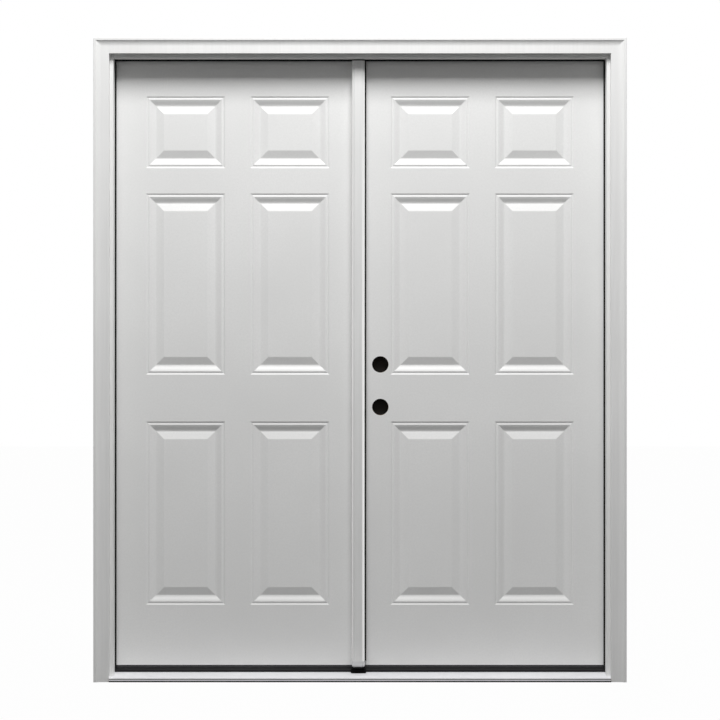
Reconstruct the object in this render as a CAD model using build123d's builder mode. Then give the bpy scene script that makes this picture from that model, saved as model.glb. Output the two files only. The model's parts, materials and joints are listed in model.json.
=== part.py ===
from build123d import *
import os

# Prehung double front door: two embossed steel leaves in a brickmoulded frame with its sill.
# X runs right as seen from outside, Y runs into the house and Z runs up, in millimetres.
# The origin is on the underside of the sill, midway between the jambs, in the plane of
# the jambs' outside edges. The left leaf (-X) is passive and carries the astragal; the
# right leaf (+X) is active and carries the lock bores. Side is -1 or +1 throughout.

# Leaves
leaf_width = 806.45
leaf_height = 1993.9
leaf_thickness = 44.45
leaf_bottom = 47.6
skin = 0.6
skin_lip = 8.0
stile_width = 38.1
rail_height = 38.1

# How far a cutter runs past a face, and the flats round a small bar or bore
overrun = 1.0
rod_flats = 12

# Gaps round and between the leaves
hinge_gap = 3.2
head_gap = 3.2
meeting_gap = 12.7

# Frame
jamb_depth = 115.9
jamb_thickness = 31.75
rabbet = 12.7
seal_space = 12.7
stop_ease = 1.5
kerf_width = 2.8
kerf_depth = 10.0
kerf_from_corner = 4.5

# Brickmould, measured outwards from its sight edge and forwards from the wall
mould_width = 50.8
mould_depth = 31.75
mould_reveal = 12.7
mould_flat_width = 26.0
mould_flat_depth = 24.5
mould_nosing = 8.0
mould_nosing_step = 1.2
mould_cove_dip = 2.4
mould_ease = 2.0
mould_seat = 16.0
mould_wall_seat = 18.0
mould_relief = 1.6

# Embossed panels, from the leaf's edges and its bottom up
panel_hinge_margin = 112.0
panel_lock_margin = 95.0
panel_mullion = 84.0
bottom_rail_zone = 197.5
bottom_panel = 600.5
lock_rail_zone = 154.5
middle_panel = 593.5
upper_rail_zone = 84.0
top_panel = 234.5

# Section of the embossing: distance in from the panel's outline, depth below the face
emboss_section = (
    (0.0, 0.0),
    (4.5, 2.6),
    (10.5, 0.6),
    (17.0, 3.0),
    (26.5, 7.6),
    (32.0, 9.0),
    (57.5, 1.5),
)

# Lock preparation
bore_diameter = 53.98
backset = 60.3
latch_height = 893.5
deadbolt_rise = 139.7
edge_bore_diameter = 25.4
faceplate_height = 57.15
faceplate_width = 25.4
faceplate_depth = 2.4
lock_block_width = 56.4
lock_block_reach = 110.0

# Hinges
plate_width = 36.0
plate_height = 101.6
plate_thickness = 2.4
knuckle_radius = 6.8
knuckle_count = 5
knuckle_gap = 0.3
pin_radius = 3.15
pin_clearance = 0.05
pin_stand_off = 7.2
pin_cap_radius = 5.2
pin_cap_height = 3.0
top_hinge_drop = 177.8
bottom_hinge_rise = 279.4

# Astragal
astragal_left = -26.0
astragal_right = 15.5
astragal_proud = 38.0
astragal_bevel_depth = 3.0
astragal_bevel_width = 5.0
astragal_side_ease = 2.0
astragal_flat_left = -16.5
astragal_flat_right = 5.5
astragal_web = 8.3
astragal_seal_space = 9.5
astragal_kerf_from_edge = 4.0
astragal_kerf_depth = 8.0
astragal_foot_height = 19.5
astragal_foot_bottom = 42.5

# Flush bolts
bolt_radius = 3.0
bolt_clearance = 0.1
bolt_length = 180.0
bolt_throw = 19.0
bolt_set_back = 1.0
bolt_tab_height = 12.0
bolt_tab_width = 6.0
bolt_tab_recess = 0.2
keeper_clearance = 0.6

# Strikes
strike_height = 57.0
strike_width = 28.0
strike_thickness = 1.6
latch_mouth = (14.0, 25.0)
latch_pocket_depth = 12.0
deadbolt_mouth = (20.0, 30.0)
deadbolt_pocket_depth = 25.0
pocket_margin = 1.0
head_strike = (24.0, 44.0)

# Weather seals
seal_clearance = 0.3
seal_show = 5.0
seal_back = 9.7
seal_round = 2.6
fin_clearance = 0.2
pad_thickness = 2.2
pad_width = 28.0
pad_height = 50.0

# Sill
sill_front = -31.75
tread_front_height = 12.4
tread_rear_height = 24.9
tread_thickness = 2.0
tread_rear = 62.3
lip_bottom = 1.0
lip_groove_top = 10.4
lip_groove_bottom = 8.9
lip_fillet_bottom = 4.5
lip_groove_depth = 1.3
lip_fillet_depth = 0.4
cap_front = 63.0
cap_rear = 108.5
cap_top = 38.0
cap_shoulder = 33.0
cap_bottom = 19.0
cap_crown = 1.5
cap_flat = 22.0
cap_nose = 3.0
cap_drop = 5.0
cap_clearance = 0.4
base_rear_height = 33.0
cap_screw_places = (-600.0, -200.0, 200.0, 600.0)
cap_screw_radius = 3.0
cap_screw_head_radius = 5.0
cap_screw_head_height = 3.0
cap_screw_recess = 1.0
cap_screw_length = 24.0
cap_screw_clearance = 0.1
cap_screw_space = 1.0
bushing_radius = 6.0
bushing_clearance = 0.03
sill_pad_left = -30.0
sill_pad_right = 20.0
sill_pad_front = 42.0
sill_pad_slope = 4.0
foot_seal_inset = 1.0

# Door-bottom sweeps
sweep_clearance = 0.3
sweep_base = 2.4
sweep_fin = 1.6
sweep_inset = 1.5
sweep_barb = 2.4
sweep_barb_height = 9.0
sweep_barb_inset = 1.0
sweep_kerf_height = 10.0
sweep_kerf_width = 2.8
sweep_kerf_spread = 20.0

# Places that follow from the sizes above
half_opening = leaf_width + hinge_gap + meeting_gap / 2
stop_half = half_opening - rabbet
frame_half = half_opening + jamb_thickness - rabbet
leaf_top = leaf_bottom + leaf_height
head_soffit = leaf_top + head_gap
head_stop = head_soffit - rabbet
frame_top = head_soffit + jamb_thickness - rabbet
leaf_face = jamb_depth - leaf_thickness
leaf_middle = jamb_depth - leaf_thickness / 2
stop_depth = leaf_face - seal_space
seal_face = leaf_face - seal_clearance
mould_sight_x = stop_half + mould_reveal
mould_sight_z = head_stop + mould_reveal
pin_x = half_opening - hinge_gap / 2
pin_y = jamb_depth + pin_stand_off
knuckle_length = plate_height / knuckle_count
deadbolt_height = latch_height + deadbolt_rise
panel_width = (leaf_width - panel_hinge_margin - panel_lock_margin - panel_mullion) / 2
lock_edge = meeting_gap / 2
web_face = astragal_web - lock_edge
bolt_x = web_face - astragal_web / 2
cap_middle = (cap_front + cap_rear) / 2
head_seat = cap_top - cap_screw_recess - cap_screw_head_height
astragal_face = leaf_face - astragal_proud
astragal_seal_y = leaf_face - astragal_seal_space
astragal_foot_top = astragal_foot_bottom + astragal_foot_height
astragal_top = head_stop - seal_show - seal_clearance
hinge_heights = {
    "bottom": leaf_bottom + bottom_hinge_rise + plate_height / 2,
    "middle": (leaf_bottom + bottom_hinge_rise + leaf_top - top_hinge_drop) / 2,
    "top": leaf_top - top_hinge_drop - plate_height / 2,
}
panel_rows = []
row_bottom = leaf_bottom + bottom_rail_zone
for row_height, rail_above in (
    (bottom_panel, lock_rail_zone),
    (middle_panel, upper_rail_zone),
    (top_panel, 0.0),
):
    panel_rows.append((row_bottom + row_height / 2, row_height))
    row_bottom += row_height + rail_above
panel_columns = (
    lock_edge + panel_lock_margin + panel_width / 2,
    lock_edge + panel_lock_margin + 1.5 * panel_width + panel_mullion,
)
sides = {"left": -1, "right": 1}
leaves = {"passive": -1, "active": 1}


def save(piece, label):
    """Name a finished piece and write it out."""
    piece.label = label
    export_step(piece, f"parts/{label}.step")


def block(x_span, y_span, z_span, mode=Mode.ADD):
    """A square-edged block between two corners."""
    spans = (x_span, y_span, z_span)
    with Locations(tuple(sum(span) / 2 for span in spans)):
        Box(*(abs(span[1] - span[0]) for span in spans), mode=mode)


def rod(centre, radius, length, axis, mode=Mode.ADD):
    """A bar or bore about its middle, round but for its flats.

    A bar's corners and a bore's flats lie at the radius, so a bar turns in its bore.
    """
    ways = {"x": (1, 0, 0), "y": (0, 1, 0), "z": (0, 0, 1)}
    with BuildSketch(Plane(origin=centre, z_dir=ways[axis])) as outline:
        RegularPolygon(radius, rod_flats, major_radius=mode == Mode.ADD)
    extrude(outline.sketch, amount=length / 2, both=True, mode=mode)


def bore(centre, radius, length, turn):
    """Cut a truly round hole about its middle; turn swings its axis from upright."""
    with Locations(Location(centre, turn)):
        Cylinder(radius, length, mode=Mode.SUBTRACT)


def at(side, from_hinge):
    """X of a place on a leaf, measured from its hinge edge."""
    return side * (half_opening - hinge_gap - from_hinge)


def tread_height(y):
    """Height of the tread's top at a depth."""
    rise = (tread_rear_height - tread_front_height) / (tread_rear - sill_front)
    return tread_front_height + rise * (y - sill_front)


def hinge_plate(x_face, into_wood, z, mode=Mode.ADD):
    """One square-cornered hinge plate, let in flush with the wood."""
    block(
        (x_face, x_face + into_wood * plate_thickness),
        (jamb_depth - plate_width, jamb_depth),
        (z - plate_height / 2, z + plate_height / 2),
        mode=mode,
    )


def hinge_halves(side, x_face, into_wood, knuckles):
    """The three hinge leaves on one edge: their plates, and the knuckles that wrap the pins."""
    plate_span = (x_face, x_face + into_wood * plate_thickness)
    length = knuckle_length - knuckle_gap
    with BuildPart() as halves:
        for z in hinge_heights.values():
            hinge_plate(x_face, into_wood, z)
            for number in knuckles:
                middle = z - plate_height / 2 + (number + 0.5) * knuckle_length
                z_span = (middle - length / 2, middle + length / 2)
                block(plate_span, (jamb_depth, pin_y), z_span)
                rod((side * pin_x, pin_y, middle), knuckle_radius, length, "z")
            rod(
                (side * pin_x, pin_y, z),
                pin_radius + pin_clearance,
                plate_height + 2 * overrun,
                "z",
                mode=Mode.SUBTRACT,
            )
    return halves.part


def hinge_pins(side):
    """The three pins on one side, each with its two buttons."""
    with BuildPart() as pins:
        for z in hinge_heights.values():
            with Locations((side * pin_x, pin_y, z)):
                Cylinder(pin_radius, plate_height)
            for end in (-1, 1):
                middle = z + end * (plate_height + pin_cap_height) / 2
                rod((side * pin_x, pin_y, middle), pin_cap_radius, pin_cap_height, "z")
    return pins.part


def jamb_leg(side):
    """Side jamb: rabbeted for the leaf, kerfed for its seal and gained for the hinges."""
    kerf = half_opening - kerf_from_corner
    with BuildPart() as leg:
        with BuildSketch():
            with BuildLine():
                Polyline(
                    (side * (stop_half + stop_ease), 0),
                    (side * frame_half, 0),
                    (side * frame_half, jamb_depth),
                    (side * half_opening, jamb_depth),
                    (side * half_opening, stop_depth),
                    (side * (kerf + kerf_width / 2), stop_depth),
                    (side * (kerf + kerf_width / 2), stop_depth - kerf_depth),
                    (side * (kerf - kerf_width / 2), stop_depth - kerf_depth),
                    (side * (kerf - kerf_width / 2), stop_depth),
                    (side * stop_half, stop_depth),
                    (side * stop_half, stop_ease),
                    close=True,
                )
            make_face()
        extrude(amount=frame_top)
        block(
            (side * stop_half, side * half_opening),
            (0, stop_depth),
            (head_soffit, frame_top),
            mode=Mode.SUBTRACT,
        )
        for z in hinge_heights.values():
            hinge_plate(side * half_opening, side, z, mode=Mode.SUBTRACT)
    return leg.part


def mould_outline(place):
    """Brickmould section: flat, cove and nosing, with a relieved back between its two seats.

    place sets a (across, forward) point.
    """
    cove_start = (mould_flat_width, mould_flat_depth)
    cove_end = (mould_width - mould_nosing, mould_depth - mould_nosing_step)
    cove_middle = (
        (cove_start[0] + cove_end[0]) / 2 + mould_cove_dip / 2,
        (cove_start[1] + cove_end[1]) / 2 - mould_cove_dip,
    )
    nosing_end = mould_width - mould_ease
    quarter = mould_ease * (1 - 0.5**0.5)
    with BuildLine() as outline:
        Line(place(0, 0), place(0, mould_flat_depth - mould_ease))
        ThreePointArc(
            place(0, mould_flat_depth - mould_ease),
            place(quarter, mould_flat_depth - quarter),
            place(mould_ease, mould_flat_depth),
        )
        Line(place(mould_ease, mould_flat_depth), place(*cove_start))
        ThreePointArc(place(*cove_start), place(*cove_middle), place(*cove_end))
        Polyline(
            place(*cove_end),
            place(mould_width - mould_nosing, mould_depth),
            place(nosing_end, mould_depth),
        )
        ThreePointArc(
            place(nosing_end, mould_depth),
            place(mould_width - quarter, mould_depth - quarter),
            place(mould_width, mould_depth - mould_ease),
        )
        Polyline(
            place(mould_width, mould_depth - mould_ease),
            place(mould_width, 0),
            place(mould_width - mould_wall_seat, 0),
            place(mould_width - mould_wall_seat - mould_relief, mould_relief),
            place(mould_seat + mould_relief, mould_relief),
            place(mould_seat, 0),
            place(0, 0),
        )
    make_face(outline.line)


def mitre(side):
    """Plane of a brickmould mitre, facing the head."""
    return Plane(
        origin=(side * mould_sight_x, 0, mould_sight_z),
        x_dir=(0, 1, 0),
        z_dir=(-side, 0, 1),
    )


def seal_bulb(across, kerf):
    """Kerf-in seal section, from its bulb to its fin; across and kerf are along the stop."""
    bulb_depth = seal_face - stop_depth
    with Locations(((across[0] + across[1]) / 2, stop_depth + bulb_depth / 2)):
        bulb = Rectangle(abs(across[1] - across[0]), bulb_depth)
    chamfer(bulb.vertices(), seal_round)
    fin = kerf_depth - fin_clearance + seal_round
    with Locations((kerf, stop_depth + seal_round - fin / 2)):
        Rectangle(kerf_width - 2 * fin_clearance, fin)


def panel_pocket(height, inward):
    """What the press takes out of a skin for one panel, about the panel's middle."""
    with BuildPart() as pocket:
        for (outer, start), (inner, end) in zip(emboss_section, emboss_section[1:]):
            if start == end:
                continue
            wide, tall, step = panel_width - 2 * outer, height - 2 * outer, inner - outer
            turn = 0 if inward * (end - start) > 0 else 180
            with Locations(Location((0, inward * start, 0), (0, 0, turn))):
                Wedge(
                    wide,
                    abs(end - start),
                    tall,
                    step,
                    step,
                    wide - step,
                    tall - step,
                    align=(Align.CENTER, Align.MIN, Align.CENTER),
                    mode=Mode.ADD if end > start else Mode.SUBTRACT,
                )
    return pocket.part


def press(side, y_face, inward, mode):
    """Add or take the six panel pockets of a leaf's face."""
    for z, height in panel_rows:
        with Locations(*((side * x, y_face, z) for x in panel_columns)):
            add(panel_pockets[height, inward], mode=mode)


def lock_bores(side, parts_of_bore):
    """Cut the latch and deadbolt bores; parts_of_bore names the faces and the edge."""
    for z in (latch_height, deadbolt_height):
        bore_x = lock_edge + backset
        if "face" in parts_of_bore:
            bore(
                (side * bore_x, leaf_middle, z),
                bore_diameter / 2,
                leaf_thickness + 2 * overrun,
                (90, 0, 0),
            )
        if "edge" in parts_of_bore:
            bore(
                (side * (lock_edge + backset / 2), leaf_middle, z),
                edge_bore_diameter / 2,
                backset,
                (0, 90, 0),
            )
            block(
                (side * lock_edge, side * (lock_edge + faceplate_depth)),
                (leaf_middle - faceplate_width / 2, leaf_middle + faceplate_width / 2),
                (z - faceplate_height / 2, z + faceplate_height / 2),
                mode=Mode.SUBTRACT,
            )


def strike_mouths(depths, mouth_growth=0.0):
    """Cut the latch and deadbolt pockets from the astragal's active face, to given depths."""
    for z, mouth, depth in (
        (latch_height, latch_mouth, depths[0]),
        (deadbolt_height, deadbolt_mouth, depths[1]),
    ):
        block(
            (web_face, web_face - depth),
            (
                leaf_middle - mouth[0] / 2 - mouth_growth,
                leaf_middle + mouth[0] / 2 + mouth_growth,
            ),
            (z - mouth[1] / 2 - mouth_growth, z + mouth[1] / 2 + mouth_growth),
            mode=Mode.SUBTRACT,
        )


pocket_depths = (
    astragal_web + latch_pocket_depth,
    astragal_web + deadbolt_pocket_depth,
)
panel_pockets = {
    (height, inward): panel_pocket(height, inward) for _, height in panel_rows for inward in (1, -1)
}


def leaf_skin(side, y_face, inward):
    """Embossed steel sheet with a lip turned along each upright edge."""
    z_span = (leaf_bottom, leaf_top)
    with BuildPart() as sheet:
        block(
            (at(side, 0), at(side, leaf_width)),
            (y_face, y_face + inward * skin),
            z_span,
        )
        press(side, y_face + inward * skin, inward, Mode.ADD)
        press(side, y_face, inward, Mode.SUBTRACT)
        for edge, back in ((0, skin), (leaf_width, leaf_width - skin)):
            block((at(side, edge), at(side, back)), (y_face, y_face + inward * skin_lip), z_span)
        if inward < 0:
            for z in hinge_heights.values():
                hinge_plate(at(side, 0), -side, z, mode=Mode.SUBTRACT)
        if side > 0:
            lock_bores(side, ("face",))
    return sheet.part


def stile(side, on_hinge_edge):
    """Upright timber of a leaf, rebated for the skins' lips."""
    edge, back = (0, stile_width) if on_hinge_edge else (leaf_width, leaf_width - stile_width)
    step = skin if on_hinge_edge else -skin
    with BuildPart() as upright:
        block(
            (at(side, edge), at(side, back)),
            (leaf_face + skin, jamb_depth - skin),
            (leaf_bottom, leaf_top),
        )
        for y_span in (
            (leaf_face, leaf_face + skin_lip),
            (jamb_depth - skin_lip, jamb_depth),
        ):
            block(
                (at(side, edge), at(side, edge + step)),
                y_span,
                (leaf_bottom, leaf_top),
                mode=Mode.SUBTRACT,
            )
        if on_hinge_edge:
            for z in hinge_heights.values():
                hinge_plate(at(side, 0), -side, z, mode=Mode.SUBTRACT)
        elif side > 0:
            lock_bores(side, ("face", "edge"))
        else:
            strike_mouths(pocket_depths, pocket_margin)
    return upright.part


def leaf_rail(side, z_span, kerfed):
    """Top or bottom timber of a leaf; the bottom one is kerfed for its sweep."""
    with BuildPart() as rail:
        block(
            (at(side, stile_width), at(side, leaf_width - stile_width)),
            (leaf_face + skin, jamb_depth - skin),
            z_span,
        )
        if kerfed:
            for end in (-1, 1):
                kerf = leaf_middle + end * sweep_kerf_spread / 2
                block(
                    (at(side, stile_width), at(side, leaf_width - stile_width)),
                    (kerf - sweep_kerf_width / 2, kerf + sweep_kerf_width / 2),
                    (leaf_bottom, leaf_bottom + sweep_kerf_height),
                    mode=Mode.SUBTRACT,
                )
    return rail.part


def lock_block_span(side):
    """X limits of the block behind the lock bores."""
    inner = leaf_width - stile_width
    return at(side, inner), at(side, inner - lock_block_width)


def lock_block_heights():
    """Z limits of the block behind the lock bores."""
    return latch_height - lock_block_reach, deadbolt_height + lock_block_reach


def leaf_core(side):
    """Foam that fills a leaf, pressed by both skins."""
    with BuildPart() as core:
        block(
            (at(side, stile_width), at(side, leaf_width - stile_width)),
            (leaf_face + skin, jamb_depth - skin),
            (leaf_bottom + rail_height, leaf_top - rail_height),
        )
        if side > 0:
            block(
                lock_block_span(side),
                (leaf_face, jamb_depth),
                lock_block_heights(),
                mode=Mode.SUBTRACT,
            )
        press(side, leaf_face + skin, 1, Mode.SUBTRACT)
        press(side, jamb_depth - skin, -1, Mode.SUBTRACT)
    return core.part


def leaf_sweep(side):
    """Vinyl sweep under a leaf, with three fins and two barbs in the rail's kerfs."""
    base_span = (leaf_face + sweep_inset, jamb_depth - sweep_inset)
    fin_starts = (base_span[0], leaf_middle - sweep_fin / 2, base_span[1] - sweep_fin)
    with BuildPart() as sweep:
        block(
            (at(side, sweep_inset), at(side, leaf_width - sweep_inset)),
            base_span,
            (leaf_bottom - sweep_base, leaf_bottom),
        )
        for start in fin_starts:
            block(
                (at(side, sweep_inset), at(side, leaf_width - sweep_inset)),
                (start, start + sweep_fin),
                (cap_top + sweep_clearance, leaf_bottom),
            )
        for end in (-1, 1):
            barb = leaf_middle + end * sweep_kerf_spread / 2
            block(
                (
                    at(side, stile_width + sweep_barb_inset),
                    at(side, leaf_width - stile_width - sweep_barb_inset),
                ),
                (barb - sweep_barb / 2, barb + sweep_barb / 2),
                (leaf_bottom, leaf_bottom + sweep_barb_height),
            )
    return sweep.part


def astragal_moulding(rear_on_passive):
    """Plan of the astragal's outside moulding, which laps both leaves."""
    lower_y = astragal_face + astragal_bevel_depth
    ease_y = lower_y + astragal_side_ease
    Polyline(
        (-lock_edge, rear_on_passive),
        (astragal_left, rear_on_passive),
        (astragal_left, ease_y),
        (astragal_left + astragal_side_ease, lower_y),
        (astragal_flat_left - astragal_bevel_width, lower_y),
        (astragal_flat_left, astragal_face),
        (astragal_flat_right, astragal_face),
        (astragal_flat_right + astragal_bevel_width, lower_y),
        (astragal_right - astragal_side_ease, lower_y),
        (astragal_right, ease_y),
        (astragal_right, astragal_seal_y),
        (-lock_edge, astragal_seal_y),
        close=True,
    )


def flush_bolt(end, tip):
    """Sliding bolt of the astragal, with its thumb tab. end is +1 at the head, -1 at the sill."""
    tail = tip - end * bolt_length
    with BuildPart() as bolt:
        rod((bolt_x, leaf_middle, (tip + tail) / 2), bolt_radius, bolt_length, "z")
        block(
            (bolt_x, web_face - bolt_tab_recess),
            (leaf_middle - bolt_tab_width / 2, leaf_middle + bolt_tab_width / 2),
            (tail, tail + end * bolt_tab_height),
        )
    return bolt.part


def bolt_way(end, tip):
    """Cut a bolt's bore and the slot for its tab, both longer than the bolt by its throw."""
    tail = tip - end * bolt_length
    mouth = tip + end * (bolt_set_back + overrun)
    slot_end = tail + end * (bolt_tab_height + bolt_throw)
    rod(
        (bolt_x, leaf_middle, (tail - end * bolt_set_back + mouth) / 2),
        bolt_radius + bolt_clearance,
        abs(mouth - tail) + bolt_set_back,
        "z",
        mode=Mode.SUBTRACT,
    )
    half_slot = bolt_tab_width / 2 + bolt_clearance
    block(
        (bolt_x, web_face),
        (leaf_middle - half_slot, leaf_middle + half_slot),
        (tail - end * bolt_set_back, slot_end + end * bolt_set_back),
        mode=Mode.SUBTRACT,
    )


os.makedirs("parts", exist_ok=True)

# Frame: jambs
for name, side in sides.items():
    save(jamb_leg(side), f"jamb_{name}")

head_kerf = head_soffit - kerf_from_corner
with BuildPart() as head_jamb:
    with BuildSketch(Plane.YZ):
        with BuildLine():
            Polyline(
                (0, head_stop + stop_ease),
                (0, frame_top),
                (jamb_depth, frame_top),
                (jamb_depth, head_soffit),
                (stop_depth, head_soffit),
                (stop_depth, head_kerf + kerf_width / 2),
                (stop_depth - kerf_depth, head_kerf + kerf_width / 2),
                (stop_depth - kerf_depth, head_kerf - kerf_width / 2),
                (stop_depth, head_kerf - kerf_width / 2),
                (stop_depth, head_stop),
                (stop_ease, head_stop),
                close=True,
            )
        make_face()
    extrude(amount=half_opening, both=True)
    for side in sides.values():
        block(
            (side * stop_half, side * half_opening),
            (0, stop_depth),
            (head_stop, head_soffit),
            mode=Mode.SUBTRACT,
        )
    block(
        (bolt_x - head_strike[0] / 2, bolt_x + head_strike[0] / 2),
        (leaf_middle - head_strike[1] / 2, leaf_middle + head_strike[1] / 2),
        (head_soffit, head_soffit + strike_thickness),
        mode=Mode.SUBTRACT,
    )
    keeper_top = leaf_top - bolt_set_back + bolt_throw + keeper_clearance
    rod(
        (bolt_x, leaf_middle, (head_soffit + keeper_top) / 2),
        bolt_radius + keeper_clearance,
        keeper_top - head_soffit,
        "z",
        mode=Mode.SUBTRACT,
    )
save(head_jamb.part, "head_jamb")

with BuildPart() as head_strike_plate:
    block(
        (bolt_x - head_strike[0] / 2, bolt_x + head_strike[0] / 2),
        (leaf_middle - head_strike[1] / 2, leaf_middle + head_strike[1] / 2),
        (head_soffit, head_soffit + strike_thickness),
    )
    rod(
        (bolt_x, leaf_middle, head_soffit),
        bolt_radius + keeper_clearance,
        2 * (strike_thickness + overrun),
        "z",
        mode=Mode.SUBTRACT,
    )
save(head_strike_plate.part, "head_strike_plate")

# Frame: brickmould, mitred at the head
for name, side in sides.items():
    with BuildPart() as mould_leg:
        with BuildSketch():
            mould_outline(lambda across, forward: (side * (mould_sight_x + across), -forward))
        extrude(amount=mould_sight_z + mould_width)
        split(bisect_by=mitre(side), keep=Keep.BOTTOM)
    save(mould_leg.part, f"brickmould_{name}")

with BuildPart() as mould_head:
    with BuildSketch(Plane.YZ):
        mould_outline(lambda across, forward: (-forward, mould_sight_z + across))
    extrude(amount=mould_sight_x + mould_width, both=True)
    for side in sides.values():
        split(bisect_by=mitre(side), keep=Keep.TOP)
save(mould_head.part, "brickmould_head")

# Frame: kerf-in weatherstrip
for name, side in sides.items():
    with BuildPart() as side_seal:
        with BuildSketch(Plane.XY.offset(cap_top + seal_clearance)):
            seal_bulb(
                (side * (stop_half - seal_show), side * (stop_half + seal_back)),
                side * (half_opening - kerf_from_corner),
            )
        extrude(amount=astragal_top - cap_top - seal_clearance)
    save(side_seal.part, f"weatherstrip_{name}")

with BuildPart() as head_seal:
    with BuildSketch(Plane(origin=(0, 0, 0), x_dir=(0, 0, 1), z_dir=(-1, 0, 0))):
        seal_bulb((head_stop - seal_show, head_stop + seal_back), head_kerf)
    extrude(amount=half_opening - seal_clearance, both=True)
    for side in sides.values():
        block(
            (side * stop_half, side * half_opening),
            (0, stop_depth),
            (head_stop, head_soffit),
            mode=Mode.SUBTRACT,
        )
save(head_seal.part, "weatherstrip_head")

# Sill: base, tread, adjustable cap and its screws
stop_notches = [(side * stop_half, side * half_opening) for side in sides.values()]
with BuildPart() as sill_base:
    with BuildSketch(Plane.YZ):
        with BuildLine():
            Polyline(
                (sill_front + tread_thickness, 0),
                (jamb_depth, 0),
                (jamb_depth, base_rear_height),
                (cap_rear + cap_clearance, base_rear_height),
                (cap_rear + cap_clearance, cap_bottom - cap_drop),
                (tread_rear, cap_bottom - cap_drop),
                (tread_rear, tread_height(tread_rear) - tread_thickness),
                (
                    sill_front + tread_thickness,
                    tread_height(sill_front + tread_thickness) - tread_thickness,
                ),
                close=True,
            )
        make_face()
    extrude(amount=half_opening, both=True)
    for notch in stop_notches:
        block(notch, (0, stop_depth), (0, cap_top), mode=Mode.SUBTRACT)
    for x in cap_screw_places:
        screw_foot = head_seat - cap_screw_length - cap_drop - cap_screw_space
        rod(
            (x, cap_middle, (screw_foot + cap_bottom) / 2),
            cap_screw_radius + cap_screw_clearance,
            cap_bottom - screw_foot,
            "z",
            mode=Mode.SUBTRACT,
        )
save(sill_base.part, "sill_base")

with BuildPart() as sill_tread:
    with BuildSketch(Plane.YZ):
        with BuildLine():
            Polyline(
                (sill_front, tread_front_height),
                (tread_rear, tread_rear_height),
                (tread_rear, tread_rear_height - tread_thickness),
                (
                    sill_front + tread_thickness,
                    tread_height(sill_front + tread_thickness) - tread_thickness,
                ),
                (sill_front + tread_thickness, lip_bottom),
                (sill_front + lip_groove_depth, lip_bottom),
                (sill_front + lip_groove_depth, lip_fillet_bottom),
                (sill_front + lip_fillet_depth, lip_fillet_bottom),
                (sill_front + lip_fillet_depth, lip_groove_bottom),
                (sill_front + lip_groove_depth, lip_groove_bottom),
                (sill_front + lip_groove_depth, lip_groove_top),
                (sill_front, lip_groove_top),
                close=True,
            )
        make_face()
    extrude(amount=half_opening, both=True)
    for notch in stop_notches:
        block(notch, (0, stop_depth), (0, cap_top), mode=Mode.SUBTRACT)
save(sill_tread.part, "sill_tread")

with BuildPart() as sill_cap:
    with BuildSketch(Plane.YZ):
        with BuildLine():
            Polyline(
                (cap_front, cap_top - cap_crown - cap_nose),
                (cap_front, cap_bottom),
                (cap_rear, cap_bottom),
                (cap_rear, cap_shoulder),
                (cap_rear - cap_nose, cap_top - cap_crown),
                (cap_middle + cap_flat / 2, cap_top),
                (cap_middle - cap_flat / 2, cap_top),
                (cap_front + cap_nose, cap_top - cap_crown),
                close=True,
            )
        make_face()
    extrude(amount=half_opening - cap_clearance, both=True)
    for x in cap_screw_places:
        rod(
            (x, cap_middle, cap_bottom),
            cap_screw_radius + cap_screw_clearance,
            2 * (cap_top - cap_bottom),
            "z",
            mode=Mode.SUBTRACT,
        )
        rod(
            (x, cap_middle, cap_top - cap_screw_recess),
            cap_screw_head_radius + cap_screw_clearance,
            2 * cap_screw_head_height,
            "z",
            mode=Mode.SUBTRACT,
        )
    rod(
        (bolt_x, leaf_middle, (cap_top + cap_bottom) / 2),
        bushing_radius,
        2 * (cap_top - cap_bottom),
        "z",
        mode=Mode.SUBTRACT,
    )
save(sill_cap.part, "sill_cap")

with BuildPart() as sill_cap_screws:
    for x in cap_screw_places:
        rod(
            (x, cap_middle, head_seat + cap_screw_head_height / 2),
            cap_screw_head_radius,
            cap_screw_head_height,
            "z",
        )
        rod(
            (x, cap_middle, head_seat - cap_screw_length / 2),
            cap_screw_radius,
            cap_screw_length,
            "z",
        )
save(sill_cap_screws.part, "sill_cap_screws")

with BuildPart() as sill_bolt_bushing:
    bushing_top = cap_top - cap_crown
    rod(
        (bolt_x, leaf_middle, (bushing_top + cap_bottom) / 2),
        bushing_radius - bushing_clearance,
        bushing_top - cap_bottom,
        "z",
    )
    rod(
        (bolt_x, leaf_middle, cap_bottom),
        bolt_radius + keeper_clearance,
        2 * cap_top,
        "z",
        mode=Mode.SUBTRACT,
    )
save(sill_bolt_bushing.part, "sill_bolt_bushing")

# Sill: soft pads at its corners and under the astragal
with BuildPart() as corner_seal_pads:
    for side in sides.values():
        block(
            (side * half_opening, side * (half_opening - pad_thickness)),
            (leaf_middle - pad_width / 2, leaf_middle + pad_width / 2),
            (cap_top + seal_clearance, cap_top + seal_clearance + pad_height),
        )
save(corner_seal_pads.part, "corner_seal_pads")

with BuildPart() as sill_astragal_pad:
    with BuildSketch(Plane.YZ.offset(sill_pad_left)):
        with BuildLine():
            Polyline(
                (sill_pad_front, tread_height(sill_pad_front)),
                (tread_rear, tread_rear_height),
                (tread_rear, cap_top - seal_clearance),
                (sill_pad_front + sill_pad_slope, cap_top - seal_clearance),
                close=True,
            )
        make_face()
    extrude(amount=sill_pad_right - sill_pad_left)
save(sill_astragal_pad.part, "sill_astragal_pad")

# Hinges: three a leaf, each a frame leaf, a door leaf and a pin
for name, side in sides.items():
    frame_halves = hinge_halves(side, side * half_opening, side, range(0, knuckle_count, 2))
    save(frame_halves, f"frame_hinges_{name}")
    save(hinge_pins(side), f"hinge_pins_{name}")
for name, side in leaves.items():
    door_halves = hinge_halves(side, at(side, 0), -side, range(1, knuckle_count, 2))
    save(door_halves, f"{name}_hinges")

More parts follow.
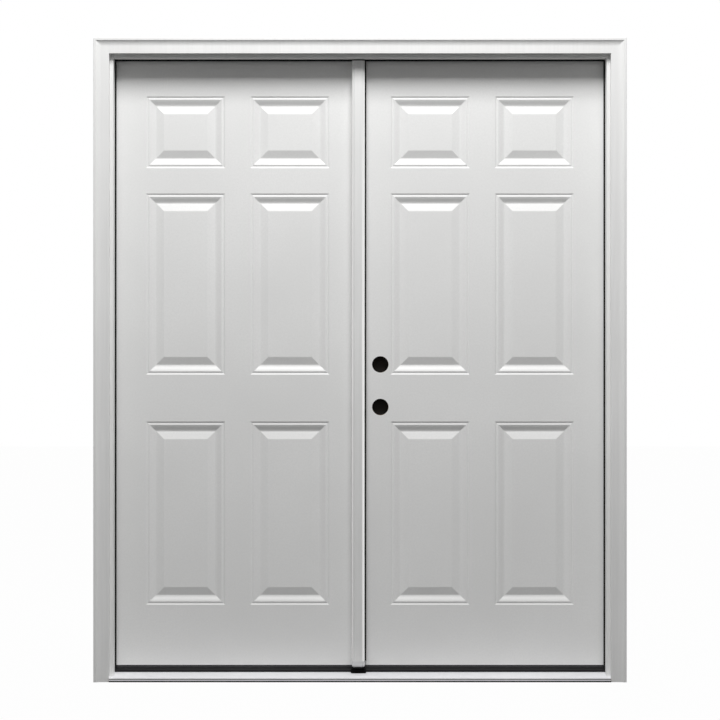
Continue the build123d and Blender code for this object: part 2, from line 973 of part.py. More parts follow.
# Leaves: skins, timbers, foam and sweep
for name, side in leaves.items():
    save(leaf_skin(side, leaf_face, 1), f"{name}_outer_skin")
    save(leaf_skin(side, jamb_depth, -1), f"{name}_inner_skin")
    save(stile(side, on_hinge_edge=True), f"{name}_hinge_stile")
    save(stile(side, on_hinge_edge=False), f"{name}_lock_stile")
    save(leaf_rail(side, (leaf_top - rail_height, leaf_top), kerfed=False), f"{name}_top_rail")
    save(
        leaf_rail(side, (leaf_bottom, leaf_bottom + rail_height), kerfed=True),
        f"{name}_bottom_rail",
    )
    save(leaf_core(side), f"{name}_core")
    save(leaf_sweep(side), f"{name}_sweep")

with BuildPart() as active_lock_block:
    block(
        lock_block_span(1),
        (leaf_face + skin, jamb_depth - skin),
        lock_block_heights(),
    )
    lock_bores(1, ("face", "edge"))
save(active_lock_block.part, "active_lock_block")

# Astragal of the passive leaf
with BuildPart() as astragal:
    with BuildSketch(Plane.XY.offset(astragal_foot_top)):
        with BuildLine():
            astragal_moulding(leaf_face)
        make_face()
        with Locations(
            (
                astragal_right - astragal_kerf_from_edge,
                astragal_seal_y - astragal_kerf_depth / 2,
            )
        ):
            Rectangle(kerf_width, astragal_kerf_depth, mode=Mode.SUBTRACT)
    extrude(amount=astragal_top - astragal_foot_top)
    block(
        (-lock_edge, web_face),
        (astragal_seal_y, leaf_face),
        (astragal_foot_top, astragal_top),
    )
    block((-lock_edge, web_face), (leaf_face, jamb_depth), (leaf_bottom, leaf_top))
    bolt_way(1, leaf_top - bolt_set_back)
    bolt_way(-1, leaf_bottom + bolt_set_back)
    strike_mouths((astragal_web, astragal_web), pocket_margin)
    for z in (latch_height, deadbolt_height):
        block(
            (web_face - strike_thickness, web_face),
            (leaf_middle - strike_width / 2, leaf_middle + strike_width / 2),
            (z - strike_height / 2, z + strike_height / 2),
            mode=Mode.SUBTRACT,
        )
save(astragal.part, "astragal")

with BuildPart() as astragal_weatherstrip:
    with BuildSketch(Plane.XY.offset(astragal_foot_top)):
        bulb_span = (web_face + seal_clearance, astragal_right + seal_show)
        with Locations((sum(bulb_span) / 2, (astragal_seal_y + seal_face) / 2)):
            bulb = Rectangle(bulb_span[1] - bulb_span[0], seal_face - astragal_seal_y)
        chamfer(bulb.vertices(), seal_round)
        fin_depth = astragal_kerf_depth - fin_clearance + seal_round
        with Locations(
            (
                astragal_right - astragal_kerf_from_edge,
                astragal_seal_y + seal_round - fin_depth / 2,
            )
        ):
            Rectangle(kerf_width - 2 * fin_clearance, fin_depth)
    extrude(amount=astragal_top - astragal_foot_top)
save(astragal_weatherstrip.part, "astragal_weatherstrip")

with BuildPart() as astragal_foot:
    with BuildSketch(Plane.XY.offset(astragal_foot_bottom)):
        with BuildLine():
            astragal_moulding(leaf_face)
        make_face()
    extrude(amount=astragal_foot_height)
save(astragal_foot.part, "astragal_foot")

with BuildPart() as astragal_foot_seal:
    with BuildSketch(Plane.XY.offset(cap_top + seal_clearance)):
        with BuildLine():
            astragal_moulding(leaf_face - seal_clearance)
        make_face()
        offset(amount=-foot_seal_inset)
    extrude(amount=astragal_foot_bottom - cap_top - seal_clearance)
save(astragal_foot_seal.part, "astragal_foot_seal")

for label, z, mouth in (
    ("latch_strike", latch_height, latch_mouth),
    ("deadbolt_strike", deadbolt_height, deadbolt_mouth),
):
    with BuildPart() as strike:
        block(
            (web_face - strike_thickness, web_face),
            (leaf_middle - strike_width / 2, leaf_middle + strike_width / 2),
            (z - strike_height / 2, z + strike_height / 2),
        )
        block(
            (web_face - strike_thickness, web_face),
            (leaf_middle - mouth[0] / 2, leaf_middle + mouth[0] / 2),
            (z - mouth[1] / 2, z + mouth[1] / 2),
            mode=Mode.SUBTRACT,
        )
    save(strike.part, label)

save(flush_bolt(1, leaf_top - bolt_set_back), "top_flush_bolt")
save(flush_bolt(-1, leaf_bottom + bolt_set_back), "bottom_flush_bolt")
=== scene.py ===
"""Looks of a prehung double front door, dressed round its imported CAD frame.

X runs right as seen from outside, Y runs into the house and Z runs up. Sizes in this file are
in millimetres and meshes are made in metres. The left leaf is passive and carries the
astragal; the right leaf is active and carries the lock bores.
"""

from __future__ import annotations

import json
import logging
import math
from dataclasses import astuple, dataclass
from enum import Enum
from typing import Callable

import bmesh
import bpy
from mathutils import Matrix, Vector

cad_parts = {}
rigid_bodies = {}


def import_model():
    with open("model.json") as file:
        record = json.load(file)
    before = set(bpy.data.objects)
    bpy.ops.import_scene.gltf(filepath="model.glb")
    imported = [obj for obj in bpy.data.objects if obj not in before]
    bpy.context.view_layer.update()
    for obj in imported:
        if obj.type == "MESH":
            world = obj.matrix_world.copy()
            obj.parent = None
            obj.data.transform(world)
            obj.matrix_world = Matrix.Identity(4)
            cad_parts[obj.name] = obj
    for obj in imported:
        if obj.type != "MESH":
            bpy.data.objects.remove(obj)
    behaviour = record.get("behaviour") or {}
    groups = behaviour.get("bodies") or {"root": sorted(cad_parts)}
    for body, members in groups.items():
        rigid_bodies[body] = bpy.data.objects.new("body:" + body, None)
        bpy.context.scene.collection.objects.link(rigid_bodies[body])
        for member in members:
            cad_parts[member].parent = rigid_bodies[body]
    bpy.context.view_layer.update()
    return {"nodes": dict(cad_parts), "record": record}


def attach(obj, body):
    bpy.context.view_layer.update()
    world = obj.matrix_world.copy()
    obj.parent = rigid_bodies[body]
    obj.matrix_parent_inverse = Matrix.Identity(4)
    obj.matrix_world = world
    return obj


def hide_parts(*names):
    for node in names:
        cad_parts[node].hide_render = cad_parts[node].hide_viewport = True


MM = 0.001
GRAIN_STRETCH = 0.04  # how far a grained figure is drawn out along its length
SHADE_SPAN = (0.12, 0.42)  # where a figure turns from the shade into the colour
GLOSS_SPREAD = 0.06
TINY = 1e-6
WHITE = (1.0, 1.0, 1.0, 1.0)
LOG = logging.getLogger("front_door")

Point = tuple[float, float]
Place = tuple[float, float, float]


class Side(Enum):
    """Which half of the unit, by the sign of its X."""

    LEFT = -1
    RIGHT = 1

    @property
    def leaf(self) -> str:
        """The name that the CAD gives to this side's leaf."""
        return "active" if self is Side.RIGHT else "passive"

    @property
    def hand(self) -> str:
        """The name that the CAD gives to this side of the frame."""
        return "right" if self is Side.RIGHT else "left"


class Pattern(Enum):
    """How a finish is figured."""

    ORANGE_PEEL = "sprayed paint"
    GRAIN = "timber grain"
    BRUSHED = "drawn or brushed metal"
    MOULDED = "moulded plastic or rubber"
    CELLS = "foam cells"


@dataclass(frozen=True)
class DoorSizes:
    """Sizes that the pieces share, as in the CAD."""

    leaf_width: float = 806.45
    leaf_height: float = 1993.9
    leaf_bottom: float = 47.6
    leaf_face: float = 71.45
    jamb_depth: float = 115.9
    half_opening: float = 816.0
    hinge_gap: float = 3.2
    stop_half: float = 803.3
    frame_half: float = 835.05
    head_stop: float = 2032.0
    head_soffit: float = 2044.7
    stop_depth: float = 58.75
    cap_top: float = 38.0
    lock_edge: float = 6.35
    web_face: float = 1.95
    bolt_x: float = -2.2
    astragal_right: float = 15.5
    astragal_foot_top: float = 62.0
    astragal_top: float = 2026.7
    backset: float = 60.3
    latch_height: float = 893.5
    deadbolt_height: float = 1033.2
    hinge_heights: tuple[float, ...] = (377.8, 1070.85, 1812.9)
    cap_middle: float = 85.75
    cap_screws: tuple[float, ...] = (-600.0, -200.0, 200.0, 600.0)

    @property
    def leaf_top(self) -> float:
        """Height of the leaves' tops."""
        return self.leaf_bottom + self.leaf_height

    @property
    def leaf_middle(self) -> float:
        """Depth of the leaves' middle plane."""
        return (self.leaf_face + self.jamb_depth) / 2


SIZES = DoorSizes()


def linear(hex_colour: str) -> tuple[float, float, float, float]:
    """Turn an sRGB hex colour into the linear values that shaders take.

    Args:
        hex_colour: Six hex digits.

    Returns:
        Linear red, green, blue and an alpha of 1.
    """
    channels = [int(hex_colour[start : start + 2], 16) / 255 for start in (0, 2, 4)]
    red, green, blue = (
        c / 12.92 if c <= 0.04045 else ((c + 0.055) / 1.055) ** 2.4 for c in channels
    )
    return red, green, blue, 1.0


def add_node(
    tree: bpy.types.NodeTree, kind: str, links: dict | None = None, **settings
) -> bpy.types.Node:
    """Add a node with its settings, input values and incoming links.

    Args:
        tree: The node tree that takes the node.
        kind: The node's type name.
        links: Input name or number to the socket or value that goes there.
        **settings: Properties of the node itself.

    Returns:
        The new node.
    """
    node = tree.nodes.new(kind)
    for name, value in settings.items():
        setattr(node, name, value)
    for name, value in (links or {}).items():
        if isinstance(value, bpy.types.NodeSocket):
            tree.links.new(value, node.inputs[name])
        else:
            node.inputs[name].default_value = value
    return node


def combined(tree: bpy.types.NodeTree, operation: str, first, second) -> bpy.types.NodeSocket:
    """Combine two numbers in a node tree.

    Args:
        tree: The node tree that takes the Math node.
        operation: The Math node's operation.
        first: Socket or number.
        second: Socket or number.

    Returns:
        The socket of the result.
    """
    return add_node(tree, "ShaderNodeMath", {0: first, 1: second}, operation=operation).outputs[0]


def emptied_tree(owner: bpy.types.Material | bpy.types.World) -> bpy.types.NodeTree:
    """Switch nodes on and return the owner's tree with nothing in it."""
    owner.use_nodes = True
    owner.node_tree.nodes.clear()
    return owner.node_tree


def new_object(name: str, data: bpy.types.ID) -> bpy.types.Object:
    """Put an object that holds the data into the scene, at the origin."""
    made = bpy.data.objects.new(name, data)
    bpy.context.scene.collection.objects.link(made)
    return made


@dataclass(frozen=True)
class Finish:
    """A real surface: what it is, its colours, and the size and depth of its figure."""

    name: str
    colour: str
    shade: str
    roughness: float
    pattern: Pattern
    pitch: float
    relief: float
    metallic: float = 0.0
    ior: float = 1.5
    along: int = 2

    def material(self) -> bpy.types.Material:
        """Build the material once, and return it.

        Returns:
            The node material of this finish.
        """
        known = bpy.data.materials.get(self.name)
        if known is not None:
            return known
        made = bpy.data.materials.new(self.name)
        tree = emptied_tree(made)
        place = add_node(tree, "ShaderNodeTexCoord")
        stretch = [1.0, 1.0, 1.0]
        if self.pattern in (Pattern.GRAIN, Pattern.BRUSHED):
            stretch[self.along] = GRAIN_STRETCH
        scaled = add_node(
            tree,
            "ShaderNodeMapping",
            {"Vector": place.outputs["Object"], "Scale": [s / (self.pitch * MM) for s in stretch]},
        )
        if self.pattern is Pattern.CELLS:
            figure = add_node(
                tree, "ShaderNodeTexVoronoi", {"Vector": scaled.outputs[0], "Scale": 1.0}
            ).outputs["Distance"]
        else:
            figure = add_node(
                tree,
                "ShaderNodeTexNoise",
                {"Vector": scaled.outputs[0], "Scale": 1.0, "Detail": 3.0, "Roughness": 0.55},
            ).outputs["Fac"]
        broad = add_node(
            tree,
            "ShaderNodeTexNoise",
            {"Vector": place.outputs["Object"], "Scale": 3.0, "Detail": 2.0},
        ).outputs["Fac"]
        both = combined(tree, "MULTIPLY", figure, broad)
        ramp = add_node(tree, "ShaderNodeValToRGB", {"Fac": both})
        stops = ramp.color_ramp.elements
        for stop, position, colour in zip(stops, SHADE_SPAN, (self.shade, self.colour)):
            stop.position, stop.color = position, linear(colour)
        rough = add_node(
            tree,
            "ShaderNodeMapRange",
            {
                "Value": figure,
                "To Min": self.roughness - GLOSS_SPREAD,
                "To Max": self.roughness + GLOSS_SPREAD,
            },
        )
        bump = add_node(
            tree,
            "ShaderNodeBump",
            {"Height": figure, "Distance": self.relief * MM, "Strength": 0.6},
        )
        surface = add_node(
            tree,
            "ShaderNodeBsdfPrincipled",
            {
                "Base Color": ramp.outputs["Color"],
                "Roughness": rough.outputs["Result"],
                "Metallic": self.metallic,
                "IOR": self.ior,
                "Normal": bump.outputs["Normal"],
            },
        )
        add_node(tree, "ShaderNodeOutputMaterial", {"Surface": surface.outputs[0]})
        return made


# Coil-coated galvanised steel: an even, low-gloss white with the faintest orange peel.
LEAF_STEEL = Finish(
    "coil_coated_steel_white", "EEEEED", "E8E8E7", 0.42, Pattern.ORANGE_PEEL, 6.0, 0.02
)
# Factory-primed pine under satin white paint: a little warmer, and softer in its gloss.
FRAME_PAINT = Finish(
    "satin_painted_pine_jamb", "ECECEB", "E5E5E4", 0.45, Pattern.GRAIN, 9.0, 0.03
)
MOULD_PAINT = Finish(
    "satin_painted_pine_moulding", "EDEDEC", "E6E6E5", 0.42, Pattern.GRAIN, 9.0, 0.03
)
ASTRAGAL_PAINT = Finish(
    "satin_painted_pine_astragal", "EAEAE9", "E3E3E2", 0.42, Pattern.GRAIN, 9.0, 0.02
)
# Planed softwood, bare: pale tan with long darker grain.
LEAF_TIMBER = Finish("planed_pine", "D8BE92", "B8935F", 0.6, Pattern.GRAIN, 7.0, 0.12)
LEAF_FOAM = Finish("polyurethane_foam", "E6D9A6", "CDBB82", 0.85, Pattern.CELLS, 3.0, 0.5)
FOOT_PLASTIC = Finish(
    "moulded_grey_polypropylene", "DDDDDC", "D2D3D4", 0.5, Pattern.MOULDED, 2.0, 0.02
)
# Foam-filled bulb in a black film: matt, very dark, faintly wrinkled.
SEAL_FOAM = Finish(
    "black_film_weatherstrip", "101011", "080809", 0.62, Pattern.MOULDED, 4.0, 0.1, ior=1.22
)
# Closed-cell foam, black, with no gloss at all.
SEAL_PAD = Finish(
    "closed_cell_foam_pad", "121212", "090909", 0.85, Pattern.CELLS, 1.5, 0.15, ior=1.2
)
# Flexible vinyl, charcoal: darker than the paint above it and lighter than the cap below.
SWEEP_VINYL = Finish(
    "flexible_vinyl_sweep", "454546", "363637", 0.5, Pattern.MOULDED, 5.0, 0.04, ior=1.35
)
# Mill-finish extruded aluminium: bright, with fine die lines along its length.
SILL_METAL = Finish(
    "mill_finish_aluminium",
    "FAFAFC",
    "EEEEF1",
    0.5,
    Pattern.BRUSHED,
    1.2,
    0.02,
    metallic=0.15,
    along=0,
)
# Painted shade: the recessed front faces of the tread's lip are near black, so that the lip reads
# as lines.
LIP_GROOVE_PAINTED_SHADE = Finish(
    "lip_groove_painted_shade", "18181A", "101011", 0.7, Pattern.MOULDED, 3.0, 0.02, ior=1.3
)
SILL_BOARD = Finish(
    "composite_sill_board", "9A8463", "7F6B4E", 0.75, Pattern.CELLS, 4.0, 0.2
)
# Wood-filled composite, dyed black: matt, with a drawn grain along the sill.
CAP_PLASTIC = Finish(
    "black_composite_sill_cap", "1C1C1E", "121213", 0.6, Pattern.GRAIN, 5.0, 0.06, ior=1.3, along=0
)
# Zinc-plated and satin-brushed steel hinges, bolts and strikes.
HINGE_STEEL = Finish(
    "satin_nickel_plated_steel", "BDB9B2", "A9A49C", 0.32, Pattern.BRUSHED, 0.8, 0.01, metallic=1.0
)
BOLT_STEEL = Finish(
    "zinc_plated_steel", "B9BABC", "A4A6A9", 0.3, Pattern.BRUSHED, 0.8, 0.01, metallic=1.0
)
SCREW_STEEL = Finish(
    "zinc_plated_screws", "A8A9AB", "8F9194", 0.35, Pattern.MOULDED, 1.0, 0.01, metallic=1.0
)
BUSHING_PLASTIC = Finish("black_acetal", "1B1B1C", "131314", 0.35, Pattern.MOULDED, 2.0, 0.01)
# Painted shade: a black disc near the inner face of each lock bore stands for the dark seen through
# the bore.
BORE_PAINTED_SHADE = Finish("black_bore_painted_shade", "060606", "030303", 0.9, Pattern.CELLS, 2.0, 0.2)

SLOT_FINISHES: dict[str, Finish] = {
    "frame_paint": FRAME_PAINT,
    "moulding_paint": MOULD_PAINT,
    "leaf_steel": LEAF_STEEL,
    "leaf_timber": LEAF_TIMBER,
    "leaf_foam": LEAF_FOAM,
    "astragal_paint": ASTRAGAL_PAINT,
    "foot_plastic": FOOT_PLASTIC,
    "seal_foam": SEAL_FOAM,
    "seal_pad": SEAL_PAD,
    "sweep_vinyl": SWEEP_VINYL,
    "sill_metal": SILL_METAL,
    "sill_substrate": SILL_BOARD,
    "cap_plastic": CAP_PLASTIC,
    "hinge_steel": HINGE_STEEL,
    "bolt_steel": BOLT_STEEL,
    "screw_steel": SCREW_STEEL,
    "bushing_plastic": BUSHING_PLASTIC,
}


def softened(
    outline: list[Point], radius: float, steps: int = 4, closed: bool = False
) -> list[Point]:
    """Round the corners of an outline.

    Args:
        outline: The outline's corners.
        radius: How far from a corner its rounding starts, at most.
        steps: Segments round each corner.
        closed: Whether the last corner joins the first.

    Returns:
        The outline with each corner replaced by a short curve.
    """
    count = len(outline)
    smooth: list[Point] = []
    for index, corner in enumerate(outline):
        if not closed and index in (0, count - 1):
            smooth.append(corner)
            continue
        here = Vector(corner)
        before, after = Vector(outline[index - 1]), Vector(outline[(index + 1) % count])
        reach = min(radius, (before - here).length * 0.45, (after - here).length * 0.45)
        start = here + (before - here).normalized() * reach
        end = here + (after - here).normalized() * reach
        for step in range(steps + 1):
            share = step / steps
            point = start * (1 - share) ** 2 + here * 2 * share * (1 - share) + end * share**2
            smooth.append((point.x, point.y))
    return smooth


class Workpiece:
    """A mesh under construction, in millimetres."""

    def __init__(self, name: str) -> None:
        """Start an empty piece.

        Args:
            name: The finished object's name.
        """
        self.name = name
        self.mesh = bmesh.new()

    def bar(self, *outlines: list[Place]) -> None:
        """Join matching outlines, end to end, into a closed bar.

        Args:
            *outlines: Corners of the bar at one end, at any places between, and at the other.
        """
        rings = [[self.mesh.verts.new(place) for place in outline] for outline in outlines]
        count = len(rings[0])
        faces = [
            self.mesh.faces.new((low[i], low[(i + 1) % count], high[(i + 1) % count], high[i]))
            for low, high in zip(rings, rings[1:])
            for i in range(count)
        ]
        faces += [self.mesh.faces.new(rings[0]), self.mesh.faces.new(rings[-1])]
        bmesh.ops.recalc_face_normals(self.mesh, faces=faces)

    def run(self, outline: list[Point], ends: Point | list[float]) -> None:
        """Run an outline of depths and heights along X, from one end to the other."""
        self.bar(*([(x, y, z) for y, z in outline] for x in ends))

    def rise(self, outline: list[Point], heights: Point) -> None:
        """Raise an outline seen from above, from one height to the other."""
        self.bar(*([(x, y, z) for x, y in outline] for z in heights))

    def block(self, x_span: Point, y_span: Point, z_span: Point, ease: float = 0.0) -> None:
        """Add a block between two corners, its edges eased.

        Args:
            x_span: Its limits across.
            y_span: Its limits in depth.
            z_span: Its limits in height.
            ease: Width of the rounding on its edges.
        """
        made = bmesh.ops.create_cube(self.mesh, size=1.0)["verts"]
        for vert in made:
            for axis, span in enumerate((x_span, y_span, z_span)):
                low, high = sorted(span)
                vert.co[axis] = low if vert.co[axis] < 0 else high
        if ease:
            edges = {edge for vert in made for edge in vert.link_edges}
            bmesh.ops.bevel(
                self.mesh, geom=list(edges), offset=ease, segments=2, profile=0.5, affect="EDGES"
            )

    def turned(self, centre: Place, profile: list[Point], axis: int = 2, steps: int = 32) -> None:
        """Turn a closed profile about an axis, as on a lathe.

        Args:
            centre: A place on the axis, from which the profile is measured.
            profile: Radius and distance along the axis, round a closed outline. An outline
                that starts and ends on the axis closes at its poles.
            axis: 0, 1 or 2 for X, Y or Z.
            steps: Segments in a full turn.
        """
        across, other = [a for a in range(3) if a != axis]
        rings = []
        for radius, along in profile:
            ring = []
            for step in range(steps if radius > TINY else 1):
                angle = 2 * math.pi * step / steps
                place = list(centre)
                place[axis] += along
                place[across] += radius * math.cos(angle)
                place[other] += radius * math.sin(angle)
                ring.append(self.mesh.verts.new(place))
            rings.append(ring)
        pairs = list(zip(rings, rings[1:]))
        if profile[0][0] > TINY:
            pairs.append((rings[-1], rings[0]))
        faces = []
        for low, high in pairs:
            for step in range(steps):
                corners = [
                    low[step % len(low)],
                    low[(step + 1) % len(low)],
                    high[(step + 1) % len(high)],
                    high[step % len(high)],
                ]
                unique = list(dict.fromkeys(corners))
                if len(unique) > 2:
                    faces.append(self.mesh.faces.new(unique))
        bmesh.ops.recalc_face_normals(self.mesh, faces=faces)

    def finished(self, slot: str, finish: Finish | None = None) -> bpy.types.Object:
        """Turn the work into an object with its material.

        Args:
            slot: The record's material slot.
            finish: The surface's finish, if it isn't the slot's own.

        Returns:
            The object, at the origin, with its place in its mesh.
        """
        bmesh.ops.scale(self.mesh, vec=(MM, MM, MM), verts=self.mesh.verts)
        data = bpy.data.meshes.new(self.name)
        self.mesh.to_mesh(data)
        self.mesh.free()
        data.materials.append((finish or SLOT_FINISHES[slot]).material())
        made = new_object(self.name, data)
        return shaded(made)


def baked(piece: bpy.types.Object) -> bpy.types.Object:
    """Turn a piece's modifiers into plain mesh.

    Args:
        piece: An object whose modifiers are to be applied.

    Returns:
        The same object with its evaluated mesh and without modifiers.
    """
    state = bpy.context.evaluated_depsgraph_get()
    data = bpy.data.meshes.new_from_object(piece.evaluated_get(state))
    piece.modifiers.clear()
    piece.data = data
    return piece


def is_mitre(way: Vector) -> bool:
    """Tell whether an edge runs at 45 degrees across the door's face.

    Args:
        way: The edge's direction.

    Returns:
        True for the corner lines of pressed panels.
    """
    return way.x != 0 and abs(abs(way.x) - abs(way.z)) < 0.01 * way.length


def shaded(
    piece: bpy.types.Object,
    smooth_angle: float = 32.0,
    crisp: Callable[[Vector], bool] | None = None,
) -> bpy.types.Object:
    """Smooth a piece's bends, and keep its flats flat beside them.

    Args:
        piece: A piece without modifiers.
        smooth_angle: Edges that bend more than this many degrees stay crisp.
        crisp: Tells by an edge's direction whether it stays crisp at any bend.

    Returns:
        The same piece, its normals weighted by the size of its faces.
    """
    data = piece.data
    data.polygons.foreach_set("use_smooth", [True] * len(data.polygons))
    data.set_sharp_from_angle(angle=math.radians(smooth_angle))
    if crisp:
        for edge in data.edges:
            start, end = (data.vertices[index].co for index in edge.vertices)
            if crisp(end - start):
                edge.use_edge_sharp = True
    weighted = piece.modifiers.new("weighted", "WEIGHTED_NORMAL")
    weighted.keep_sharp = True
    return baked(piece)


def carved(piece: bpy.types.Object, cutter: Workpiece) -> bpy.types.Object:
    """Cut a workpiece's closed shapes out of a piece.

    Args:
        piece: The piece to cut.
        cutter: Closed shapes in millimetres, which are used up.

    Returns:
        The cut piece.
    """
    tool = cutter.finished("seal_pad", BORE_PAINTED_SHADE)
    cut = piece.modifiers.new("cut", "BOOLEAN")
    cut.operation, cut.solver, cut.object = "DIFFERENCE", "EXACT", tool
    baked(piece)
    bpy.data.objects.remove(tool)
    return shaded(piece)


def seat(piece: bpy.types.Object, body: str, *nodes: str) -> None:
    """Let a piece ride on a body, stand for its CAD nodes, and report it.

    Args:
        piece: The finished piece.
        body: The CAD body that carries it.
        *nodes: CAD nodes that it stands for.
    """
    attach(piece, body)
    if nodes:
        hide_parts(*nodes)
    LOG.info("%s rides on %s, %d faces", piece.name, body, len(piece.data.polygons))


@dataclass
class PressedSkin:
    """One steel face of a leaf, with its six pressed panels and its rolled edges."""

    side: Side
    outside: bool
    margins: tuple[float, float, float] = (112.0, 84.0, 95.0)
    rows: tuple[tuple[float, float], ...] = ((197.5, 600.5), (952.5, 593.5), (1630.0, 234.5))
    thickness: float = 0.6
    lip: float = 8.0
    roll: float = 1.2
    section: tuple[Point, ...] = (
        (0.0, 0.0), (4.5, 2.6), (10.5, 0.6), (17.0, 3.0), (26.5, 7.6), (32.0, 9.0), (57.5, 1.5),
        (65.0, 1.5),
    )
    bend: float = 1.8
    bore_radius: float = 26.99
    bore_steps: int = 72
    hinge_half_height: float = 50.8

    def place(self, across: float, up: float, deep: float) -> Place:
        """Turn a place on the leaf into the frame that all pieces share.

        Args:
            across: Distance from the hinge edge.
            up: Height above the leaf's bottom.
            deep: Depth below the leaf's face.

        Returns:
            The place in millimetres.
        """
        x = self.side.value * (SIZES.half_opening - SIZES.hinge_gap - across)
        y = SIZES.leaf_face + deep if self.outside else SIZES.jamb_depth - deep
        return x, y, SIZES.leaf_bottom + up

    def columns(self) -> list[Point]:
        """Near and far limits of the two columns of panels, from the hinge edge."""
        hinge, mullion, lock = self.margins
        width = (SIZES.leaf_width - hinge - mullion - lock) / 2
        return [(hinge, hinge + width), (hinge + width + mullion, SIZES.leaf_width - lock)]

    def press_panel(self, work: Workpiece, across: Point, up: Point) -> list[bmesh.types.BMEdge]:
        """Press one panel: rings from its outline in to its raised field.

        Args:
            work: The skin under construction.
            across: The panel's limits from the hinge edge.
            up: The panel's limits above the leaf's bottom.

        Returns:
            The edges of its outermost ring, which the flat of the skin joins.
        """
        profile = [(-1.0, 0.0)] + softened(list(self.section), self.bend, steps=5)
        outermost: list[bmesh.types.BMEdge] = []
        previous: list[bmesh.types.BMVert] = []
        for inset, deep in profile:
            ring = [
                work.mesh.verts.new(self.place(a, u, deep))
                for a, u in (
                    (across[0] + inset, up[0] + inset), (across[1] - inset, up[0] + inset),
                    (across[1] - inset, up[1] - inset), (across[0] + inset, up[1] - inset),
                )
            ]
            for corner in range(4):
                after = (corner + 1) % 4
                if not previous:
                    outermost.append(work.mesh.edges.new((ring[corner], ring[after])))
                else:
                    work.mesh.faces.new(
                        (previous[corner], previous[after], ring[after], ring[corner])
                    )
            previous = ring
        work.mesh.faces.new(previous)
        return outermost

    def roll_edge(self, work: Workpiece, foot: list[bmesh.types.BMVert], at_hinge: bool) -> None:
        """Roll an upright edge over and turn its lip, clear of the hinges where they are.

        Args:
            work: The skin under construction.
            foot: Vertices of the flat along that edge, from the bottom up.
            at_hinge: Whether this is the hinge edge.
        """
        turns = [
            (self.roll * (1 - math.sin(a)), self.roll * (1 - math.cos(a)))
            for a in (math.pi / 8, math.pi / 4, 3 * math.pi / 8, math.pi / 2)
        ] + [(0.0, self.lip)]
        for low, high in zip(foot, foot[1:]):
            middle = (low.co.z + high.co.z) / 2
            if at_hinge and not self.outside and any(
                abs(middle - z) < self.hinge_half_height for z in SIZES.hinge_heights
            ):
                continue
            last = (low, high)
            for across, deep in turns:
                from_hinge = across if at_hinge else SIZES.leaf_width - across
                pair = tuple(
                    work.mesh.verts.new(
                        self.place(from_hinge, end.co.z - SIZES.leaf_bottom, deep)
                    )
                    for end in (low, high)
                )
                work.mesh.faces.new((last[0], last[1], pair[1], pair[0]))
                last = pair

    def build(self) -> bpy.types.Object:
        """Make the skin.

        Returns:
            The finished piece.
        """
        which = "outer" if self.outside else "inner"
        work = Workpiece(f"{self.side.leaf}_{which}_skin_pressed")
        borders: list[bmesh.types.BMEdge] = []
        for across in self.columns():
            for start, height in self.rows:
                borders += self.press_panel(work, across, (start, start + height))
        hinge_limits = sorted(
            z + end * self.hinge_half_height - SIZES.leaf_bottom
            for z in SIZES.hinge_heights
            for end in (-1, 1)
        )
        heights = [0.0, *hinge_limits, SIZES.leaf_height]
        near = [work.mesh.verts.new(self.place(self.roll, z, 0)) for z in heights]
        far = [
            work.mesh.verts.new(self.place(SIZES.leaf_width - self.roll, z, 0)) for z in heights
        ]
        for line in (near, far):
            borders += [work.mesh.edges.new(pair) for pair in zip(line, line[1:])]
        borders += [
            work.mesh.edges.new((near[0], far[0])),
            work.mesh.edges.new((near[-1], far[-1])),
        ]
        if self.side is Side.RIGHT:
            for z in (SIZES.latch_height, SIZES.deadbolt_height):
                centre = SIZES.leaf_width - SIZES.backset
                ring = [
                    work.mesh.verts.new(
                        self.place(
                            centre + self.bore_radius * math.cos(angle),
                            z - SIZES.leaf_bottom + self.bore_radius * math.sin(angle),
                            0,
                        )
                    )
                    for angle in (
                        2 * math.pi * step / self.bore_steps for step in range(self.bore_steps)
                    )
                ]
                borders += [
                    work.mesh.edges.new((ring[i], ring[(i + 1) % len(ring)]))
                    for i in range(len(ring))
                ]
        outward = Vector((0, -1 if self.outside else 1, 0))
        bmesh.ops.triangle_fill(
            work.mesh, use_beauty=True, use_dissolve=False, edges=borders, normal=outward
        )
        self.roll_edge(work, near, at_hinge=True)
        self.roll_edge(work, far, at_hinge=False)
        bmesh.ops.remove_doubles(work.mesh, verts=work.mesh.verts, dist=1e-4)
        bmesh.ops.recalc_face_normals(work.mesh, faces=work.mesh.faces)
        biggest = max(work.mesh.faces, key=lambda face: face.calc_area())
        if biggest.normal.dot(outward) < 0:
            bmesh.ops.reverse_faces(work.mesh, faces=work.mesh.faces)
        skin = work.finished("leaf_steel")
        sheet = skin.modifiers.new("sheet", "SOLIDIFY")
        sheet.thickness = self.thickness * MM
        sheet.offset = -1.0
        return shaded(baked(skin), smooth_angle=40.0, crisp=is_mitre)

    def dress(self) -> None:
        """Build the skin and seat it on its leaf."""
        which = "outer" if self.outside else "inner"
        seat(self.build(), f"{self.side.leaf}_leaf", f"{self.side.leaf}_{which}_skin")


